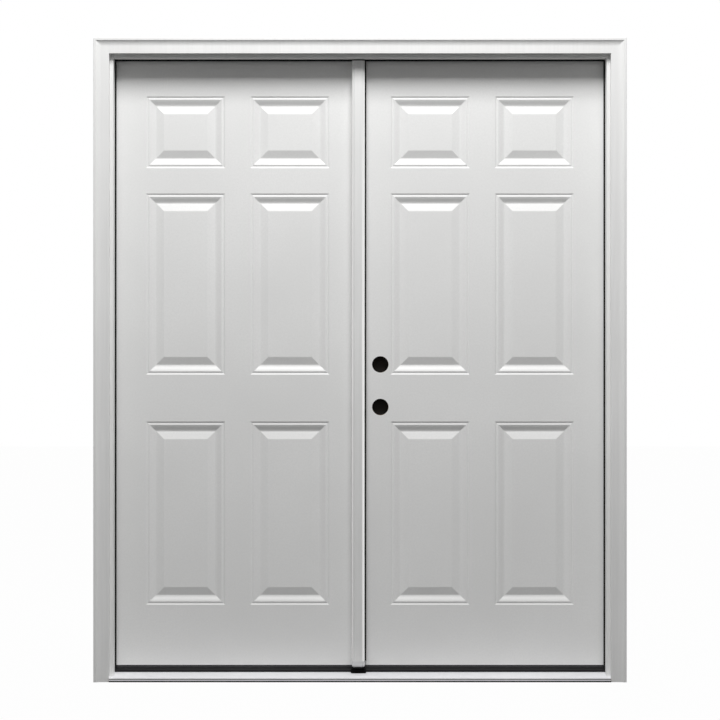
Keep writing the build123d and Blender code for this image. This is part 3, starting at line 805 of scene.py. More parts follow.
@dataclass
class BrickMould:
    """The mitred moulding round the frame's outside."""

    section: tuple[Point, ...] = (
        (0.0, 0.0), (0.0, 24.5), (26.0, 24.5), (30.0, 25.1), (33.7, 26.2), (37.1, 27.6),
        (40.1, 29.2), (42.8, 30.95), (42.8, 31.75), (50.8, 31.75), (50.8, 0.0),
    )
    ease: float = 1.6

    def build(self, which: str) -> bpy.types.Object:
        """Make one length of the moulding.

        Args:
            which: left, right or head.

        Returns:
            The finished piece.
        """
        outline = softened(list(self.section), self.ease, steps=4, closed=True)
        near: list[Place] = []
        far: list[Place] = []
        for across, forward in outline:
            reach = SIZES.half_opening + across
            top = SIZES.head_soffit + across
            if which == "head":
                near.append((-reach, -forward, top))
                far.append((reach, -forward, top))
            else:
                x = reach if which == "right" else -reach
                near.append((x, -forward, 0.0))
                far.append((x, -forward, top))
        work = Workpiece(f"brickmould_{which}_planed")
        work.bar(near, far)
        return work.finished("moulding_paint")

    def dress(self) -> None:
        """Build the three lengths and seat them on the frame."""
        for which in ("left", "right", "head"):
            seat(self.build(which), "frame", f"brickmould_{which}")


@dataclass
class WeatherSeals:
    """The black bulb seals of the frame and of the astragal."""

    show: float = 5.0
    back: float = 9.7
    face: float = 71.15
    bottom: float = 38.3
    top: float = 2026.7
    astragal_front: float = 61.95
    bulb: float = 4.6

    def profile(self, low: float, high: float, front: float) -> list[Point]:
        """Rounded bulb between two limits across, from its seat to the leaf."""
        corners = [(low, front), (high, front), (high, self.face), (low, self.face)]
        return softened(corners, self.bulb, steps=6, closed=True)

    def dress(self) -> None:
        """Build the seals and seat them."""
        low, high = SIZES.stop_half - self.show, SIZES.stop_half + self.back
        for side in Side:
            outline = self.profile(low, high, SIZES.stop_depth)
            work = Workpiece(f"weatherstrip_{side.hand}_bulb")
            work.rise([(side.value * a, y) for a, y in outline], (self.bottom, self.top))
            seat(work.finished("seal_foam"), "frame", f"weatherstrip_{side.hand}")
        low, high = SIZES.head_stop - self.show, SIZES.head_stop + self.back
        outline = self.profile(low, high, SIZES.stop_depth)
        reach = SIZES.half_opening - 0.3
        work = Workpiece("weatherstrip_head_bulb")
        work.run([(y, z) for z, y in outline], (-reach, reach))
        seat(work.finished("seal_foam"), "frame", "weatherstrip_head")
        low, high = SIZES.web_face + 0.3, SIZES.astragal_right + self.show
        outline = self.profile(low, high, self.astragal_front)
        work = Workpiece("astragal_weatherstrip_bulb")
        work.rise(outline, (SIZES.astragal_foot_top, SIZES.astragal_top))
        piece = work.finished("seal_foam")
        seat(piece, "passive_leaf", "astragal_weatherstrip")


@dataclass
class EasedSolid:
    """A solid of the CAD whose arrises are taken off, as sanding or a die leaves them."""

    node: str
    body: str
    slot: str
    ease: float
    least_bend: float = 25.0

    def dress(self) -> None:
        """Build the eased solid and seat it in place of its node."""
        source = bpy.data.objects[self.node]
        work = Workpiece(f"{self.node}_eased")
        mesh = work.mesh
        mesh.from_mesh(source.data)
        bmesh.ops.transform(mesh, matrix=source.matrix_world, verts=mesh.verts)
        bmesh.ops.scale(mesh, vec=(1 / MM, 1 / MM, 1 / MM), verts=mesh.verts)
        bmesh.ops.remove_doubles(mesh, verts=mesh.verts, dist=0.005)
        bmesh.ops.dissolve_limit(
            mesh, angle_limit=math.radians(0.5), verts=mesh.verts, edges=mesh.edges
        )
        arrises = [
            edge
            for edge in mesh.edges
            if edge.is_manifold
            and edge.is_convex
            and edge.calc_face_angle() > math.radians(self.least_bend)
        ]
        bmesh.ops.bevel(
            mesh,
            geom=arrises,
            offset=self.ease,
            segments=2,
            profile=0.5,
            affect="EDGES",
            clamp_overlap=True,
        )
        seat(work.finished(self.slot), self.body, self.node)


def eased_solids() -> list[EasedSolid]:
    """List the solids of the CAD that only need their arrises taken off."""
    return [
        EasedSolid("jamb_left", "frame", "frame_paint", 0.7),
        EasedSolid("jamb_right", "frame", "frame_paint", 0.7),
        EasedSolid("head_jamb", "frame", "frame_paint", 0.7),
        EasedSolid("sill_base", "frame", "sill_substrate", 0.5),
        EasedSolid("head_strike_plate", "frame", "bolt_steel", 0.35),
        EasedSolid("corner_seal_pads", "frame", "seal_pad", 0.8),
        EasedSolid("sill_astragal_pad", "frame", "seal_pad", 3.0),
        EasedSolid("astragal", "passive_leaf", "astragal_paint", 0.6),
        EasedSolid("latch_strike", "passive_leaf", "bolt_steel", 0.35),
        EasedSolid("deadbolt_strike", "passive_leaf", "bolt_steel", 0.35),
    ]


@dataclass
class Sill:
    """The sill's tread with its ribs and lip, and its adjustable cap."""

    tread_section: tuple[Point, ...] = (
        (-31.75, 12.4), (62.3, 24.9), (62.3, 22.9), (-29.75, 10.67), (-29.75, 1.0),
        (-30.45, 1.0), (-30.45, 4.5), (-31.35, 4.5), (-31.35, 8.9), (-30.45, 8.9),
        (-30.45, 11.4), (-31.75, 11.4),
    )
    cap_section: tuple[Point, ...] = (
        (63.0, 33.5), (63.0, 19.0), (108.5, 19.0), (108.5, 33.0), (105.5, 36.5), (96.75, 38.0),
        (74.75, 38.0), (66.0, 36.5),
    )
    cap_clearance: float = 0.4
    rib_zone: Point = (-12.0, 42.0)
    rib_pitch: float = 6.0
    rib_groove: Point = (1.6, 0.5)
    screw_radius: float = 3.1
    screw_head_radius: float = 5.1
    screw_seat: float = 34.0
    bushing_radius: float = 6.0

    def tread_top(self) -> list[Point]:
        """The tread's top line from front to rear, with a row of shallow grooves."""
        (y_front, z_front), (y_rear, z_rear) = self.tread_section[:2]
        rise = (z_rear - z_front) / (y_rear - y_front)
        width, deep = self.rib_groove
        line = [(y_front, z_front)]
        y = self.rib_zone[0]
        while y < self.rib_zone[1]:
            for across, down in ((0, 0), (width * 0.25, deep), (width * 0.75, deep), (width, 0)):
                line.append((y + across, z_front + rise * (y + across - y_front) - down))
            y += self.rib_pitch
        line.append((y_rear, z_rear))
        return line

    def tread(self) -> bpy.types.Object:
        """Make the tread, notched round the jambs' stops.

        Returns:
            The finished piece.
        """
        outline = self.tread_top() + list(self.tread_section[2:])
        work = Workpiece("sill_tread_ribbed")
        reach = SIZES.half_opening
        work.run(outline, (-reach, reach))
        piece = work.finished("sill_metal")
        # Painted shade: the lip's recessed front faces take the near-black material instead of the
        # aluminium.
        piece.data.materials.append(LIP_GROOVE_PAINTED_SHADE.material())
        for face in piece.data.polygons:
            if face.normal.y < -0.9 and face.center.y > -31.0 * MM and face.center.z < 12.0 * MM:
                face.material_index = 1
        notches = Workpiece("notches")
        for side in Side:
            notches.block(
                (side.value * SIZES.stop_half, side.value * (reach + 5)),
                (0.0, SIZES.stop_depth), (-5.0, 60.0),
            )
        return carved(piece, notches)

    def cap(self) -> bpy.types.Object:
        """Make the cap, bored for its screws and for the bolt's bushing.

        Returns:
            The finished piece.
        """
        outline = softened(list(self.cap_section), 3.0, steps=4, closed=True)
        reach = SIZES.half_opening - self.cap_clearance
        work = Workpiece("sill_cap_crowned")
        work.run(outline, (-reach, reach))
        piece = work.finished("cap_plastic")
        bores = Workpiece("bores")
        small, large, low, high = self.screw_radius, self.screw_head_radius, 10.0, 50.0
        for x in SIZES.cap_screws:
            bores.turned(
                (x, SIZES.cap_middle, 0.0),
                [
                    (0.0, low), (small, low), (small, self.screw_seat),
                    (large, self.screw_seat), (large, SIZES.cap_top - 0.6), (large + 1.2, high),
                    (0.0, high),
                ],
                steps=40,
            )
        bores.turned(
            (SIZES.bolt_x, SIZES.leaf_middle, 0.0),
            [(0.0, low), (self.bushing_radius, low), (self.bushing_radius, high), (0.0, high)],
            steps=40,
        )
        return carved(piece, bores)

    def dress(self) -> None:
        """Build the tread and the cap and seat them."""
        seat(self.tread(), "frame", "sill_tread")
        seat(self.cap(), "sill_cap_unit", "sill_cap")


@dataclass
class AstragalFoot:
    """The moulded end block of the astragal and the soft pad under it."""

    section: tuple[Point, ...] = (
        (-6.35, 71.45), (-26.0, 71.45), (-26.0, 38.45), (-24.0, 36.45), (-21.5, 36.45),
        (-16.5, 33.45), (5.5, 33.45), (10.5, 36.45), (13.5, 36.45), (15.5, 38.45),
        (15.5, 61.95), (-6.35, 61.95),
    )
    bottom: float = 42.5
    taper: float = 4.0
    pad_inset: float = 1.0
    pad_bottom: float = 38.3

    def drawn_in(self, inset: float) -> list[Point]:
        """The section, drawn in by a distance at its sides and front.

        Args:
            inset: How far.

        Returns:
            The smaller section, with as many corners.
        """
        middle = (self.section[1][0] + self.section[9][0]) / 2
        half = self.section[9][0] - middle
        share = (half - inset) / half
        deep = self.section[0][1]
        front = self.section[5][1]
        reach = (deep - front - inset) / (deep - front)
        return [(middle + (x - middle) * share, deep + (y - deep) * reach) for x, y in self.section]

    def dress(self) -> None:
        """Build the block and its pad and seat them."""
        work = Workpiece("astragal_foot_moulded")
        levels = (
            (SIZES.astragal_foot_top, 0.6), (SIZES.astragal_foot_top - 0.6, 0.0),
            (self.bottom + self.taper * 1.3, 0.0), (self.bottom, self.taper),
        )
        work.bar(*([(x, y, z) for x, y in self.drawn_in(inset)] for z, inset in levels))
        seat(work.finished("foot_plastic"), "passive_leaf", "astragal_foot")
        work = Workpiece("astragal_foot_seal_soft")
        levels = (
            (self.bottom, self.pad_inset), (self.pad_bottom + 1.0, self.pad_inset),
            (self.pad_bottom, self.pad_inset + 1.0),
        )
        work.bar(*([(x, y - 0.3, z) for x, y in self.drawn_in(inset)] for z, inset in levels))
        seat(work.finished("seal_pad"), "passive_leaf", "astragal_foot_seal")


@dataclass
class LeafSweep:
    """The vinyl sweep under a leaf: a base, three lips and two barbs, all one extrusion."""

    side: Side
    base: Point = (72.95, 114.4)
    base_bottom: float = 45.2
    lip_bottom: float = 38.3
    lip_width: float = 1.6
    barb_width: float = 2.4
    barb_top: float = 56.6
    barb_spread: float = 10.0
    inset: float = 1.5
    barb_inset: float = 39.1

    def dress(self) -> None:
        """Build the sweep and seat it on its leaf."""
        work = Workpiece(f"{self.side.leaf}_sweep_lipped")
        hinge_edge = SIZES.half_opening - SIZES.hinge_gap
        ends = [
            self.side.value * (hinge_edge - across)
            for across in (self.inset, SIZES.leaf_width - self.inset)
        ]
        width = self.lip_width
        outline = [(self.base[1], SIZES.leaf_bottom), (self.base[0], SIZES.leaf_bottom)]
        for start in (
            self.base[0],
            SIZES.leaf_middle - width / 2,
            self.base[1] - width,
        ):
            outline += [
                (start, self.base_bottom), (start + 0.1, self.lip_bottom + 0.5),
                (start + width / 2, self.lip_bottom),
                (start + width - 0.1, self.lip_bottom + 0.5), (start + width, self.base_bottom),
            ]
        work.run(outline, ends)
        ends = [
            self.side.value * (hinge_edge - across)
            for across in (self.barb_inset, SIZES.leaf_width - self.barb_inset)
        ]
        for sign in (-1, 1):
            middle, half = SIZES.leaf_middle + sign * self.barb_spread, self.barb_width / 2
            barb = [
                (middle - half / 2, SIZES.leaf_bottom), (middle - half / 2, self.barb_top - 5),
                (middle - half, self.barb_top - 5), (middle, self.barb_top),
                (middle + half, self.barb_top - 5), (middle + half / 2, self.barb_top - 5),
                (middle + half / 2, SIZES.leaf_bottom),
            ]
            work.run(barb, ends)
        piece = work.finished("sweep_vinyl")
        seat(piece, f"{self.side.leaf}_leaf", f"{self.side.leaf}_sweep")


@dataclass
class FlushBolts:
    """The astragal's two sliding bolts and the bushing that takes the lower one."""

    radius: float = 3.0
    length: float = 180.0
    set_back: float = 1.0
    tab_height: float = 12.0
    tab_half: float = 3.0
    tab_face: float = 1.75
    bushing: tuple[float, float, float, float] = (5.97, 3.6, 19.0, 36.5)

    def bolt(self, end: int) -> bpy.types.Object:
        """Make one bolt.

        Args:
            end: +1 for the head, -1 for the sill.

        Returns:
            The finished piece.
        """
        name = "top_flush_bolt_turned" if end > 0 else "bottom_flush_bolt_turned"
        work = Workpiece(name)
        tip = SIZES.leaf_top - self.set_back if end > 0 else SIZES.leaf_bottom + self.set_back
        tail = tip - end * self.length
        r = self.radius
        work.turned(
            (SIZES.bolt_x, SIZES.leaf_middle, tail),
            [
                (0.0, 0.0), (r - 0.4, 0.0), (r, end * 0.4), (r, end * (self.length - 1.5)),
                (r - 1.2, end * self.length), (0.0, end * self.length),
            ],
            steps=36,
        )
        middle, half = SIZES.leaf_middle, self.tab_half
        steps = 4
        for step in range(steps):
            low = tail + end * (self.tab_height * step / steps + 0.15)
            high = tail + end * (self.tab_height * (step + 1) / steps - 0.15)
            x_span = (SIZES.bolt_x, self.tab_face)
            work.block(x_span, (middle - half, middle + half), (low, high), 0.3)
        work.block(
            (SIZES.bolt_x, self.tab_face - 0.6), (middle - half + 0.2, middle + half - 0.2),
            (tail + end * 0.3, tail + end * (self.tab_height - 0.3)),
        )
        return work.finished("bolt_steel")

    def dress(self) -> None:
        """Build the bolts and the bushing and seat them."""
        seat(self.bolt(1), "top_bolt", "top_flush_bolt")
        seat(self.bolt(-1), "bottom_bolt", "bottom_flush_bolt")
        outer, inner, low, high = self.bushing
        work = Workpiece("sill_bolt_bushing_turned")
        work.turned(
            (SIZES.bolt_x, SIZES.leaf_middle, 0.0),
            [
                (inner, low), (outer, low), (outer, high - 0.4), (outer - 0.4, high),
                (inner + 0.8, high), (inner, high - 0.8),
            ],
            steps=40,
        )
        piece = work.finished("bushing_plastic")
        seat(piece, "sill_cap_unit", "sill_bolt_bushing")


@dataclass(frozen=True)
class ScrewShape:
    """Sizes of a cross-recessed screw, in millimetres."""

    head_radius: float
    base_radius: float
    head_height: float
    shank_radius: float
    length: float
    recess_width: float = 1.1
    recess_depth: float = 0.55
    rim: float = 0.7


@dataclass(frozen=True)
class ScrewPlace:
    """Where a screw's head is, and which way it faces."""

    at: Place
    facing: Place
    size: float = 1.0


class ScrewTree:
    """A Geometry Nodes tree that sets a screw at each vertex of a mesh."""

    SIZES = (
        "Head Radius",
        "Base Radius",
        "Head Height",
        "Shank Radius",
        "Length",
        "Recess Width",
        "Recess Depth",
        "Rim",
    )
    SEED = 7

    def __init__(self) -> None:
        """Build the tree."""
        self.tree = bpy.data.node_groups.new("cross_recessed_screws", "GeometryNodeTree")
        self.sockets: dict[str, str] = {}
        self.declare()
        self.wire()

    def declare(self) -> None:
        """Name the tree's inputs and its output."""
        face = self.tree.interface
        face.new_socket("Geometry", in_out="INPUT", socket_type="NodeSocketGeometry")
        for name in self.SIZES:
            made = face.new_socket(name, in_out="INPUT", socket_type="NodeSocketFloat")
            self.sockets[name] = made.identifier
        for name, kind in (("Seed", "NodeSocketInt"), ("Material", "NodeSocketMaterial")):
            made = face.new_socket(name, in_out="INPUT", socket_type=kind)
            self.sockets[name] = made.identifier
        face.new_socket("Geometry", in_out="OUTPUT", socket_type="NodeSocketGeometry")

    def cone(self, top, bottom, height, lowered) -> bpy.types.NodeSocket:
        """A cone whose top lies a distance under the screw's face.

        Args:
            top: Radius of its top.
            bottom: Radius of its bottom.
            height: Its height.
            lowered: How far its bottom lies under the screw's face, as a negative number.

        Returns:
            The socket of its mesh.
        """
        made = add_node(
            self.tree,
            "GeometryNodeMeshCone",
            {"Vertices": 28, "Radius Top": top, "Radius Bottom": bottom, "Depth": height},
        )
        shift = add_node(self.tree, "ShaderNodeCombineXYZ", {"Z": lowered})
        moved = add_node(
            self.tree,
            "GeometryNodeTransform",
            {"Geometry": made.outputs["Mesh"], "Translation": shift.outputs[0]},
        )
        return moved.outputs[0]

    def sum(self, first, second, operation: str = "ADD") -> bpy.types.NodeSocket:
        """Combine two numbers.

        Args:
            first: Socket or number.
            second: Socket or number.
            operation: A Math node's operation.

        Returns:
            The socket of the result.
        """
        return combined(self.tree, operation, first, second)

    def screw(self, given: bpy.types.NodeOutputs) -> bpy.types.NodeSocket:
        """One screw, its face at the origin and its shank down the Z axis.

        Args:
            given: The outputs of the tree's input node.

        Returns:
            The socket of its mesh.
        """
        tree = self.tree
        rim, head = given["Rim"], given["Head Height"]
        under_rim = self.sum(rim, -1.0, "MULTIPLY")
        under_head = self.sum(head, -1.0, "MULTIPLY")
        top_radius = self.sum(given["Head Radius"], rim, "SUBTRACT")
        face = self.cone(top_radius, given["Head Radius"], rim, under_rim)
        arms = []
        reach = self.sum(given["Head Radius"], 1.15, "MULTIPLY")
        depth = self.sum(given["Recess Depth"], 2.0, "MULTIPLY")
        for names in (("X", "Y"), ("Y", "X")):
            size = add_node(
                tree,
                "ShaderNodeCombineXYZ",
                {names[0]: given["Recess Width"], names[1]: reach, "Z": depth},
            )
            arm = add_node(tree, "GeometryNodeMeshCube", {"Size": size.outputs[0]})
            arms.append(arm.outputs[0])
        cut = add_node(tree, "GeometryNodeMeshBoolean", operation="DIFFERENCE")
        tree.links.new(face, cut.inputs["Mesh 1"])
        for arm in arms:
            tree.links.new(arm, cut.inputs["Mesh 2"])
        height = self.sum(head, rim, "SUBTRACT")
        base = self.cone(given["Head Radius"], given["Base Radius"], height, under_head)
        foot = self.sum(self.sum(head, given["Length"]), -1.0, "MULTIPLY")
        shank = self.cone(given["Shank Radius"], given["Shank Radius"], given["Length"], foot)
        join = add_node(tree, "GeometryNodeJoinGeometry")
        for mesh in (cut.outputs["Mesh"], base, shank):
            tree.links.new(mesh, join.inputs[0])
        return join.outputs[0]

    def wire(self) -> None:
        """Set the screw on every vertex, turned to its facing and spun at random."""
        tree = self.tree
        given = tree.nodes.new("NodeGroupInput").outputs
        facing = add_node(
            tree, "GeometryNodeInputNamedAttribute", {"Name": "facing"}, data_type="FLOAT_VECTOR"
        )
        size = add_node(
            tree, "GeometryNodeInputNamedAttribute", {"Name": "size"}, data_type="FLOAT"
        )
        upright = add_node(
            tree, "FunctionNodeAlignRotationToVector", {"Vector": facing.outputs[0]}, axis="Z"
        )
        chance = add_node(
            tree,
            "FunctionNodeRandomValue",
            {2: 0.0, 3: math.tau, "Seed": given["Seed"]},
            data_type="FLOAT",
        )
        spin = add_node(
            tree,
            "FunctionNodeAxisAngleToRotation",
            {"Axis": (0.0, 0.0, 1.0), "Angle": chance.outputs[1]},
        )
        turned = add_node(
            tree,
            "FunctionNodeRotateRotation",
            {"Rotation": upright.outputs[0], "Rotate By": spin.outputs[0]},
            rotation_space="LOCAL",
        )
        placed = add_node(
            tree,
            "GeometryNodeInstanceOnPoints",
            {
                "Points": given["Geometry"],
                "Instance": self.screw(given),
                "Rotation": turned.outputs[0],
                "Scale": size.outputs[0],
            },
        )
        real = add_node(tree, "GeometryNodeRealizeInstances", {"Geometry": placed.outputs[0]})
        painted = add_node(
            tree,
            "GeometryNodeSetMaterial",
            {"Geometry": real.outputs[0], "Material": given["Material"]},
        )
        add_node(tree, "NodeGroupOutput", {0: painted.outputs[0]})

    def drive(self, name: str, places: list[ScrewPlace], shape: ScrewShape) -> bpy.types.Object:
        """Set screws and bake them into one plain mesh.

        Args:
            name: The piece's name.
            places: Where the screws go.
            shape: Their sizes.

        Returns:
            The finished piece.
        """
        data = bpy.data.meshes.new(name)
        data.from_pydata([[value * MM for value in place.at] for place in places], [], [])
        facing = data.attributes.new("facing", "FLOAT_VECTOR", "POINT")
        facing.data.foreach_set("vector", [value for place in places for value in place.facing])
        size = data.attributes.new("size", "FLOAT", "POINT")
        size.data.foreach_set("value", [place.size for place in places])
        made = new_object(name, data)
        setter = made.modifiers.new("screws", "NODES")
        setter.node_group = self.tree
        for socket, value in zip(self.SIZES, astuple(shape)):
            setter[self.sockets[socket]] = value * MM
        setter[self.sockets["Seed"]] = self.SEED
        setter[self.sockets["Material"]] = SCREW_STEEL.material()
        return shaded(baked(made))


@dataclass
class Screws:
    """Every screw that shows, set by one Geometry Nodes tree."""

    wood: ScrewShape = ScrewShape(4.2, 2.0, 2.8, 1.7, 26.0)
    cap: ScrewShape = ScrewShape(5.0, 5.0, 3.0, 3.0, 24.0, recess_width=1.3, recess_depth=0.6)
    stand: float = 0.5
    hinge_pattern: tuple[Point, ...] = ((103.0, -38.0), (89.0, -13.0), (103.0, 13.0), (89.0, 38.0))
    strike_reach: float = 22.0
    astragal_heights: tuple[float, ...] = (300.0, 500.0, 700.0, 1180.0, 1400.0, 1650.0)
    cap_face: float = 37.0

    def plate(self, x_face: float, towards: int) -> list[ScrewPlace]:
        """Screws of the three hinge plates on one edge.

        Args:
            x_face: The plates' outer face.
            towards: The way that the heads face along X.

        Returns:
            Their places.
        """
        return [
            ScrewPlace((x_face + towards * self.stand, y, z + up), (towards, 0.0, 0.0))
            for z in SIZES.hinge_heights
            for y, up in self.hinge_pattern
        ]

    def frame_places(self) -> list[ScrewPlace]:
        """Screws of the frame: its hinge plates, its corners and its bolt keeper."""
        places: list[ScrewPlace] = []
        for side in Side:
            way = side.value
            places += self.plate(way * SIZES.half_opening, -way)
            outside = way * (SIZES.frame_half + 0.2)
            for y, z in ((22.0, 2054.0), (58.0, 2054.0), (95.0, 2054.0), (28.0, 8.0), (88.0, 7.0)):
                places.append(ScrewPlace((outside, y, z), (way, 0.0, 0.0), 1.1))
        for end in (-1, 1):
            y = SIZES.leaf_middle + end * 16.5
            places.append(
                ScrewPlace((SIZES.bolt_x, y, SIZES.head_soffit - 0.4), (0.0, 0.0, -1.0), 0.75)
            )
        return places

    def passive_places(self) -> list[ScrewPlace]:
        """Screws of the passive leaf: its hinge plates, its strikes and its astragal."""
        face = SIZES.web_face
        middle = SIZES.leaf_middle
        places = self.plate(-(SIZES.half_opening - SIZES.hinge_gap), -1)
        for z in (SIZES.latch_height, SIZES.deadbolt_height):
            for end in (-1, 1):
                at = (face + 0.4, middle, z + end * self.strike_reach)
                places.append(ScrewPlace(at, (1.0, 0.0, 0.0), 0.8))
        for z in self.astragal_heights:
            places.append(ScrewPlace((face + 0.4, middle, z), (1.0, 0.0, 0.0), 0.9))
        return places

    def dress(self) -> None:
        """Drive every screw and seat it on what it holds."""
        tree = ScrewTree()
        seat(tree.drive("frame_screws", self.frame_places(), self.wood), "frame")
        seat(tree.drive("passive_leaf_screws", self.passive_places(), self.wood), "passive_leaf")
        places = self.plate(SIZES.half_opening - SIZES.hinge_gap, 1)
        seat(tree.drive("active_leaf_screws", places, self.wood), "active_leaf")
        places = [
            ScrewPlace((x, SIZES.cap_middle, self.cap_face), (0.0, 0.0, 1.0))
            for x in SIZES.cap_screws
        ]
        piece = tree.drive("sill_cap_screws_driven", places, self.cap)
        seat(piece, "sill_cap_unit", "sill_cap_screws")


@dataclass
class LockBores:
    """Black discs near the inner face of each lock bore: painted shade that stands for the dark
    seen through the bores.
    """

    radius: float = 26.9
    set_back: float = 8.0
    thickness: float = 6.0

    def dress(self) -> None:
        """Build the black discs of painted shade and seat them on the active leaf."""
        work = Workpiece("bore_foam")
        for z in (SIZES.latch_height, SIZES.deadbolt_height):
            start = SIZES.jamb_depth - self.set_back - self.thickness
            deep = self.thickness
            work.turned(
                (SIZES.lock_edge + SIZES.backset, start, z),
                [
                    (0.0, 0.0), (self.radius - 1, 0.0), (self.radius, 1.0), (self.radius, deep),
                    (0.0, deep),
                ],
                axis=1,
                steps=72,
            )
        # Painted shade: the discs take the black material that stands for the dark inside the
        # bores.
        seat(work.finished("seal_pad", BORE_PAINTED_SHADE), "active_leaf")


@dataclass
class Hinges:
    """Butt hinges: square plates, wrapped knuckles and buttoned pins."""

    plate_width: float = 36.0
    plate_height: float = 101.6
    plate_thickness: float = 2.4
    radius: float = 6.8
    bore: float = 3.2
    knuckles: int = 5
    gap: float = 0.3
    pin_x: float = 814.4
    pin_y: float = 123.1

    def halves(self, side: Side, door: bool) -> bpy.types.Object:
        """Make the three hinge leaves on one edge.

        Args:
            side: Which side of the unit.
            door: Whether they are the door's leaves, with two knuckles, or the frame's.

        Returns:
            The finished piece.
        """
        name = f"{side.leaf}_hinges_wrapped" if door else f"frame_hinges_{side.hand}_wrapped"
        work = Workpiece(name)
        face = SIZES.half_opening - SIZES.hinge_gap if door else SIZES.half_opening
        into = -1 if door else 1
        x_span = (side.value * face, side.value * (face + into * self.plate_thickness))
        length = self.plate_height / self.knuckles
        for z in SIZES.hinge_heights:
            low = z - self.plate_height / 2
            work.block(
                x_span,
                (SIZES.jamb_depth - self.plate_width, SIZES.jamb_depth),
                (low, low + self.plate_height),
                ease=0.3,
            )
            for number in range(1 if door else 0, self.knuckles, 2):
                start = low + number * length + self.gap / 2
                end = start + length - self.gap
                work.block(x_span, (SIZES.jamb_depth - 1, self.pin_y), (start, end), ease=0.3)
                r, b = self.radius, self.bore
                work.turned(
                    (side.value * self.pin_x, self.pin_y, start),
                    [
                        (b, 0.0), (r - 0.4, 0.0), (r, 0.4), (r, end - start - 0.4),
                        (r - 0.4, end - start), (b, end - start),
                    ],
                    steps=48,
                )
        return work.finished("hinge_steel")

    def pins(self, side: Side) -> bpy.types.Object:
        """Make the three pins on one side, with a domed button at each end.

        Args:
            side: Which side of the unit.

        Returns:
            The finished piece.
        """
        work = Workpiece(f"hinge_pins_{side.hand}_turned")
        half = self.plate_height / 2
        for z in SIZES.hinge_heights:
            work.turned(
                (side.value * self.pin_x, self.pin_y, z),
                [
                    (0.0, -half - 3.0), (2.6, -half - 2.8), (4.6, -half - 1.8),
                    (5.2, -half - 0.6), (5.2, -half), (3.15, -half), (3.15, half), (5.2, half),
                    (5.2, half + 0.6), (4.6, half + 1.8), (2.6, half + 2.8), (0.0, half + 3.0),
                ],
                steps=48,
            )
        return work.finished("hinge_steel")

    def dress(self) -> None:
        """Build every hinge and seat it."""
        for side in Side:
            seat(self.halves(side, door=False), "frame", f"frame_hinges_{side.hand}")
            seat(self.halves(side, door=True), f"{side.leaf}_leaf", f"{side.leaf}_hinges")
            seat(self.pins(side), "frame", f"hinge_pins_{side.hand}")


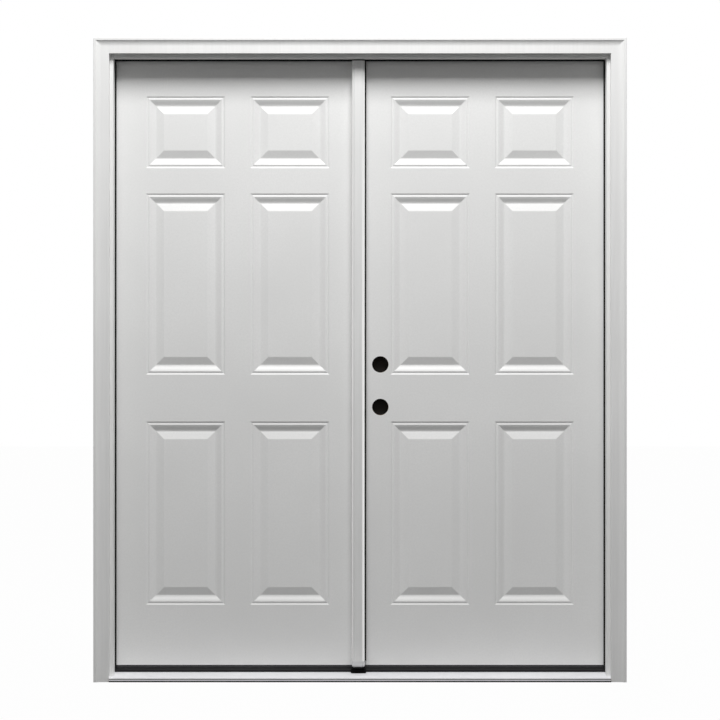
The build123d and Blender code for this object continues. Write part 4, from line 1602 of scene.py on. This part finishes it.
@dataclass
class Studio:
    """Camera, floor and light."""

    camera_height: float = 1047.7
    camera_distance: float = 11029.0
    lens: float = 169.2
    key_place: Place = (0.0, -2100.0, 4300.0)
    key_power: float = 144.0
    key_size: Point = (2.2, 1.3)
    rear_place: Place = (0.0, 4200.0, 3600.0)
    rear_power: float = 170.0
    rear_size: Point = (2.6, 1.2)
    aim_height: float = 1200.0
    ambient: float = 0.24
    floor_share: float = 0.985
    floor_half: float = 30.0

    def camera(self) -> None:
        """Set the camera square in front of the door, as in the photograph."""
        data = bpy.data.cameras.new("front_camera")
        data.lens, data.sensor_width, data.clip_end = self.lens, 36.0, 200.0
        made = new_object("front_camera", data)
        made.location = (0, -self.camera_distance * MM, self.camera_height * MM)
        made.rotation_euler = (math.pi / 2, 0, 0)
        bpy.context.scene.camera = made

    def floor(self) -> None:
        """Lay a pale floor that takes shadows and reads as white to the camera."""
        half = self.floor_half
        data = bpy.data.meshes.new("studio_floor")
        corners = [(-half, -half, 0), (half, -half, 0), (half, half, 0), (-half, half, 0)]
        data.from_pydata(corners, [], [(0, 1, 2, 3)])
        paint = bpy.data.materials.new("studio_floor_white")
        tree = emptied_tree(paint)
        ray = add_node(tree, "ShaderNodeLightPath")
        share = combined(tree, "MULTIPLY", ray.outputs["Is Camera Ray"], self.floor_share)
        matt = add_node(tree, "ShaderNodeBsdfDiffuse", {"Color": linear("787878")})
        glow = add_node(tree, "ShaderNodeEmission", {"Color": WHITE, "Strength": 1.0})
        mixed = add_node(
            tree,
            "ShaderNodeMixShader",
            {0: share, 1: matt.outputs[0], 2: glow.outputs[0]},
        )
        add_node(tree, "ShaderNodeOutputMaterial", {"Surface": mixed.outputs[0]})
        data.materials.append(paint)
        made = new_object("studio_floor", data)

    def softbox(self, name: str, place: Place, power: float, size: Point) -> None:
        """Hang a soft lamp that no camera sees, aimed at the door.

        Args:
            name: The lamp's name.
            place: Its place in millimetres.
            power: Its power in watts.
            size: Its width and height in metres.
        """
        lamp = bpy.data.lights.new(name, "AREA")
        lamp.energy, lamp.shape = power, "RECTANGLE"
        lamp.size, lamp.size_y = size
        made = new_object(name, lamp)
        made.location = [value * MM for value in place]
        aim = Vector((0, 0, self.aim_height * MM)) - Vector(made.location)
        made.rotation_euler = aim.to_track_quat("-Z", "Y").to_euler()
        made.visible_camera = False

    def light(self) -> None:
        """Hang the softboxes and set the world."""
        self.softbox("softbox", self.key_place, self.key_power, self.key_size)
        self.softbox("softbox_rear", self.rear_place, self.rear_power, self.rear_size)
        world = bpy.data.worlds.new("studio")
        bpy.context.scene.world = world
        tree = emptied_tree(world)
        ray = add_node(tree, "ShaderNodeLightPath")
        ways = [ray.outputs[f"Is {way} Ray"] for way in ("Camera", "Glossy", "Transmission")]
        seen = combined(tree, "MAXIMUM", ways[0], ways[1])
        clear = combined(tree, "MAXIMUM", seen, ways[2])
        strength = add_node(
            tree,
            "ShaderNodeMapRange",
            {"Value": clear, "To Min": self.ambient, "To Max": 1.0},
        )
        sky = add_node(
            tree,
            "ShaderNodeBackground",
            {"Color": WHITE, "Strength": strength.outputs["Result"]},
        )
        add_node(tree, "ShaderNodeOutputWorld", {"Surface": sky.outputs[0]})

    def set_up(self) -> None:
        """Place everything that is round the object."""
        self.camera()
        self.floor()
        self.light()
        bpy.context.scene.view_settings.view_transform = "Standard"


def dress_cad_nodes(frame: dict) -> None:
    """Give each CAD node the finish of its slot.
    """
    for part in frame["record"]["subparts"]:
        node = frame["nodes"][part["node"]]
        finish = SLOT_FINISHES[part["material_slot"]]
        node.data.materials.clear()
        node.data.materials.append(finish.material())


def corners(bounds) -> list[list[float]]:
    """Plain lists of a box's two corners."""
    return [[float(value) for value in corner] for corner in bounds]


def main() -> None:
    """Load the frame, dress it and set the studio."""
    logging.basicConfig(level=logging.INFO, format="%(name)s: %(message)s")
    for name in list(bpy.data.objects.keys()):
        bpy.data.objects.remove(bpy.data.objects[name])
    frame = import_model()
    dress_cad_nodes(frame)
    for side in Side:
        for outside in (True, False):
            PressedSkin(side, outside).dress()
    assemblies = [BrickMould(), WeatherSeals(), LockBores(), Hinges(), Sill(), AstragalFoot()]
    assemblies += [LeafSweep(side) for side in Side]
    assemblies += [FlushBolts(), Screws(), *eased_solids()]
    for assembly in assemblies:
        assembly.dress()
    Studio().set_up()


if __name__ == "__main__":
    main()
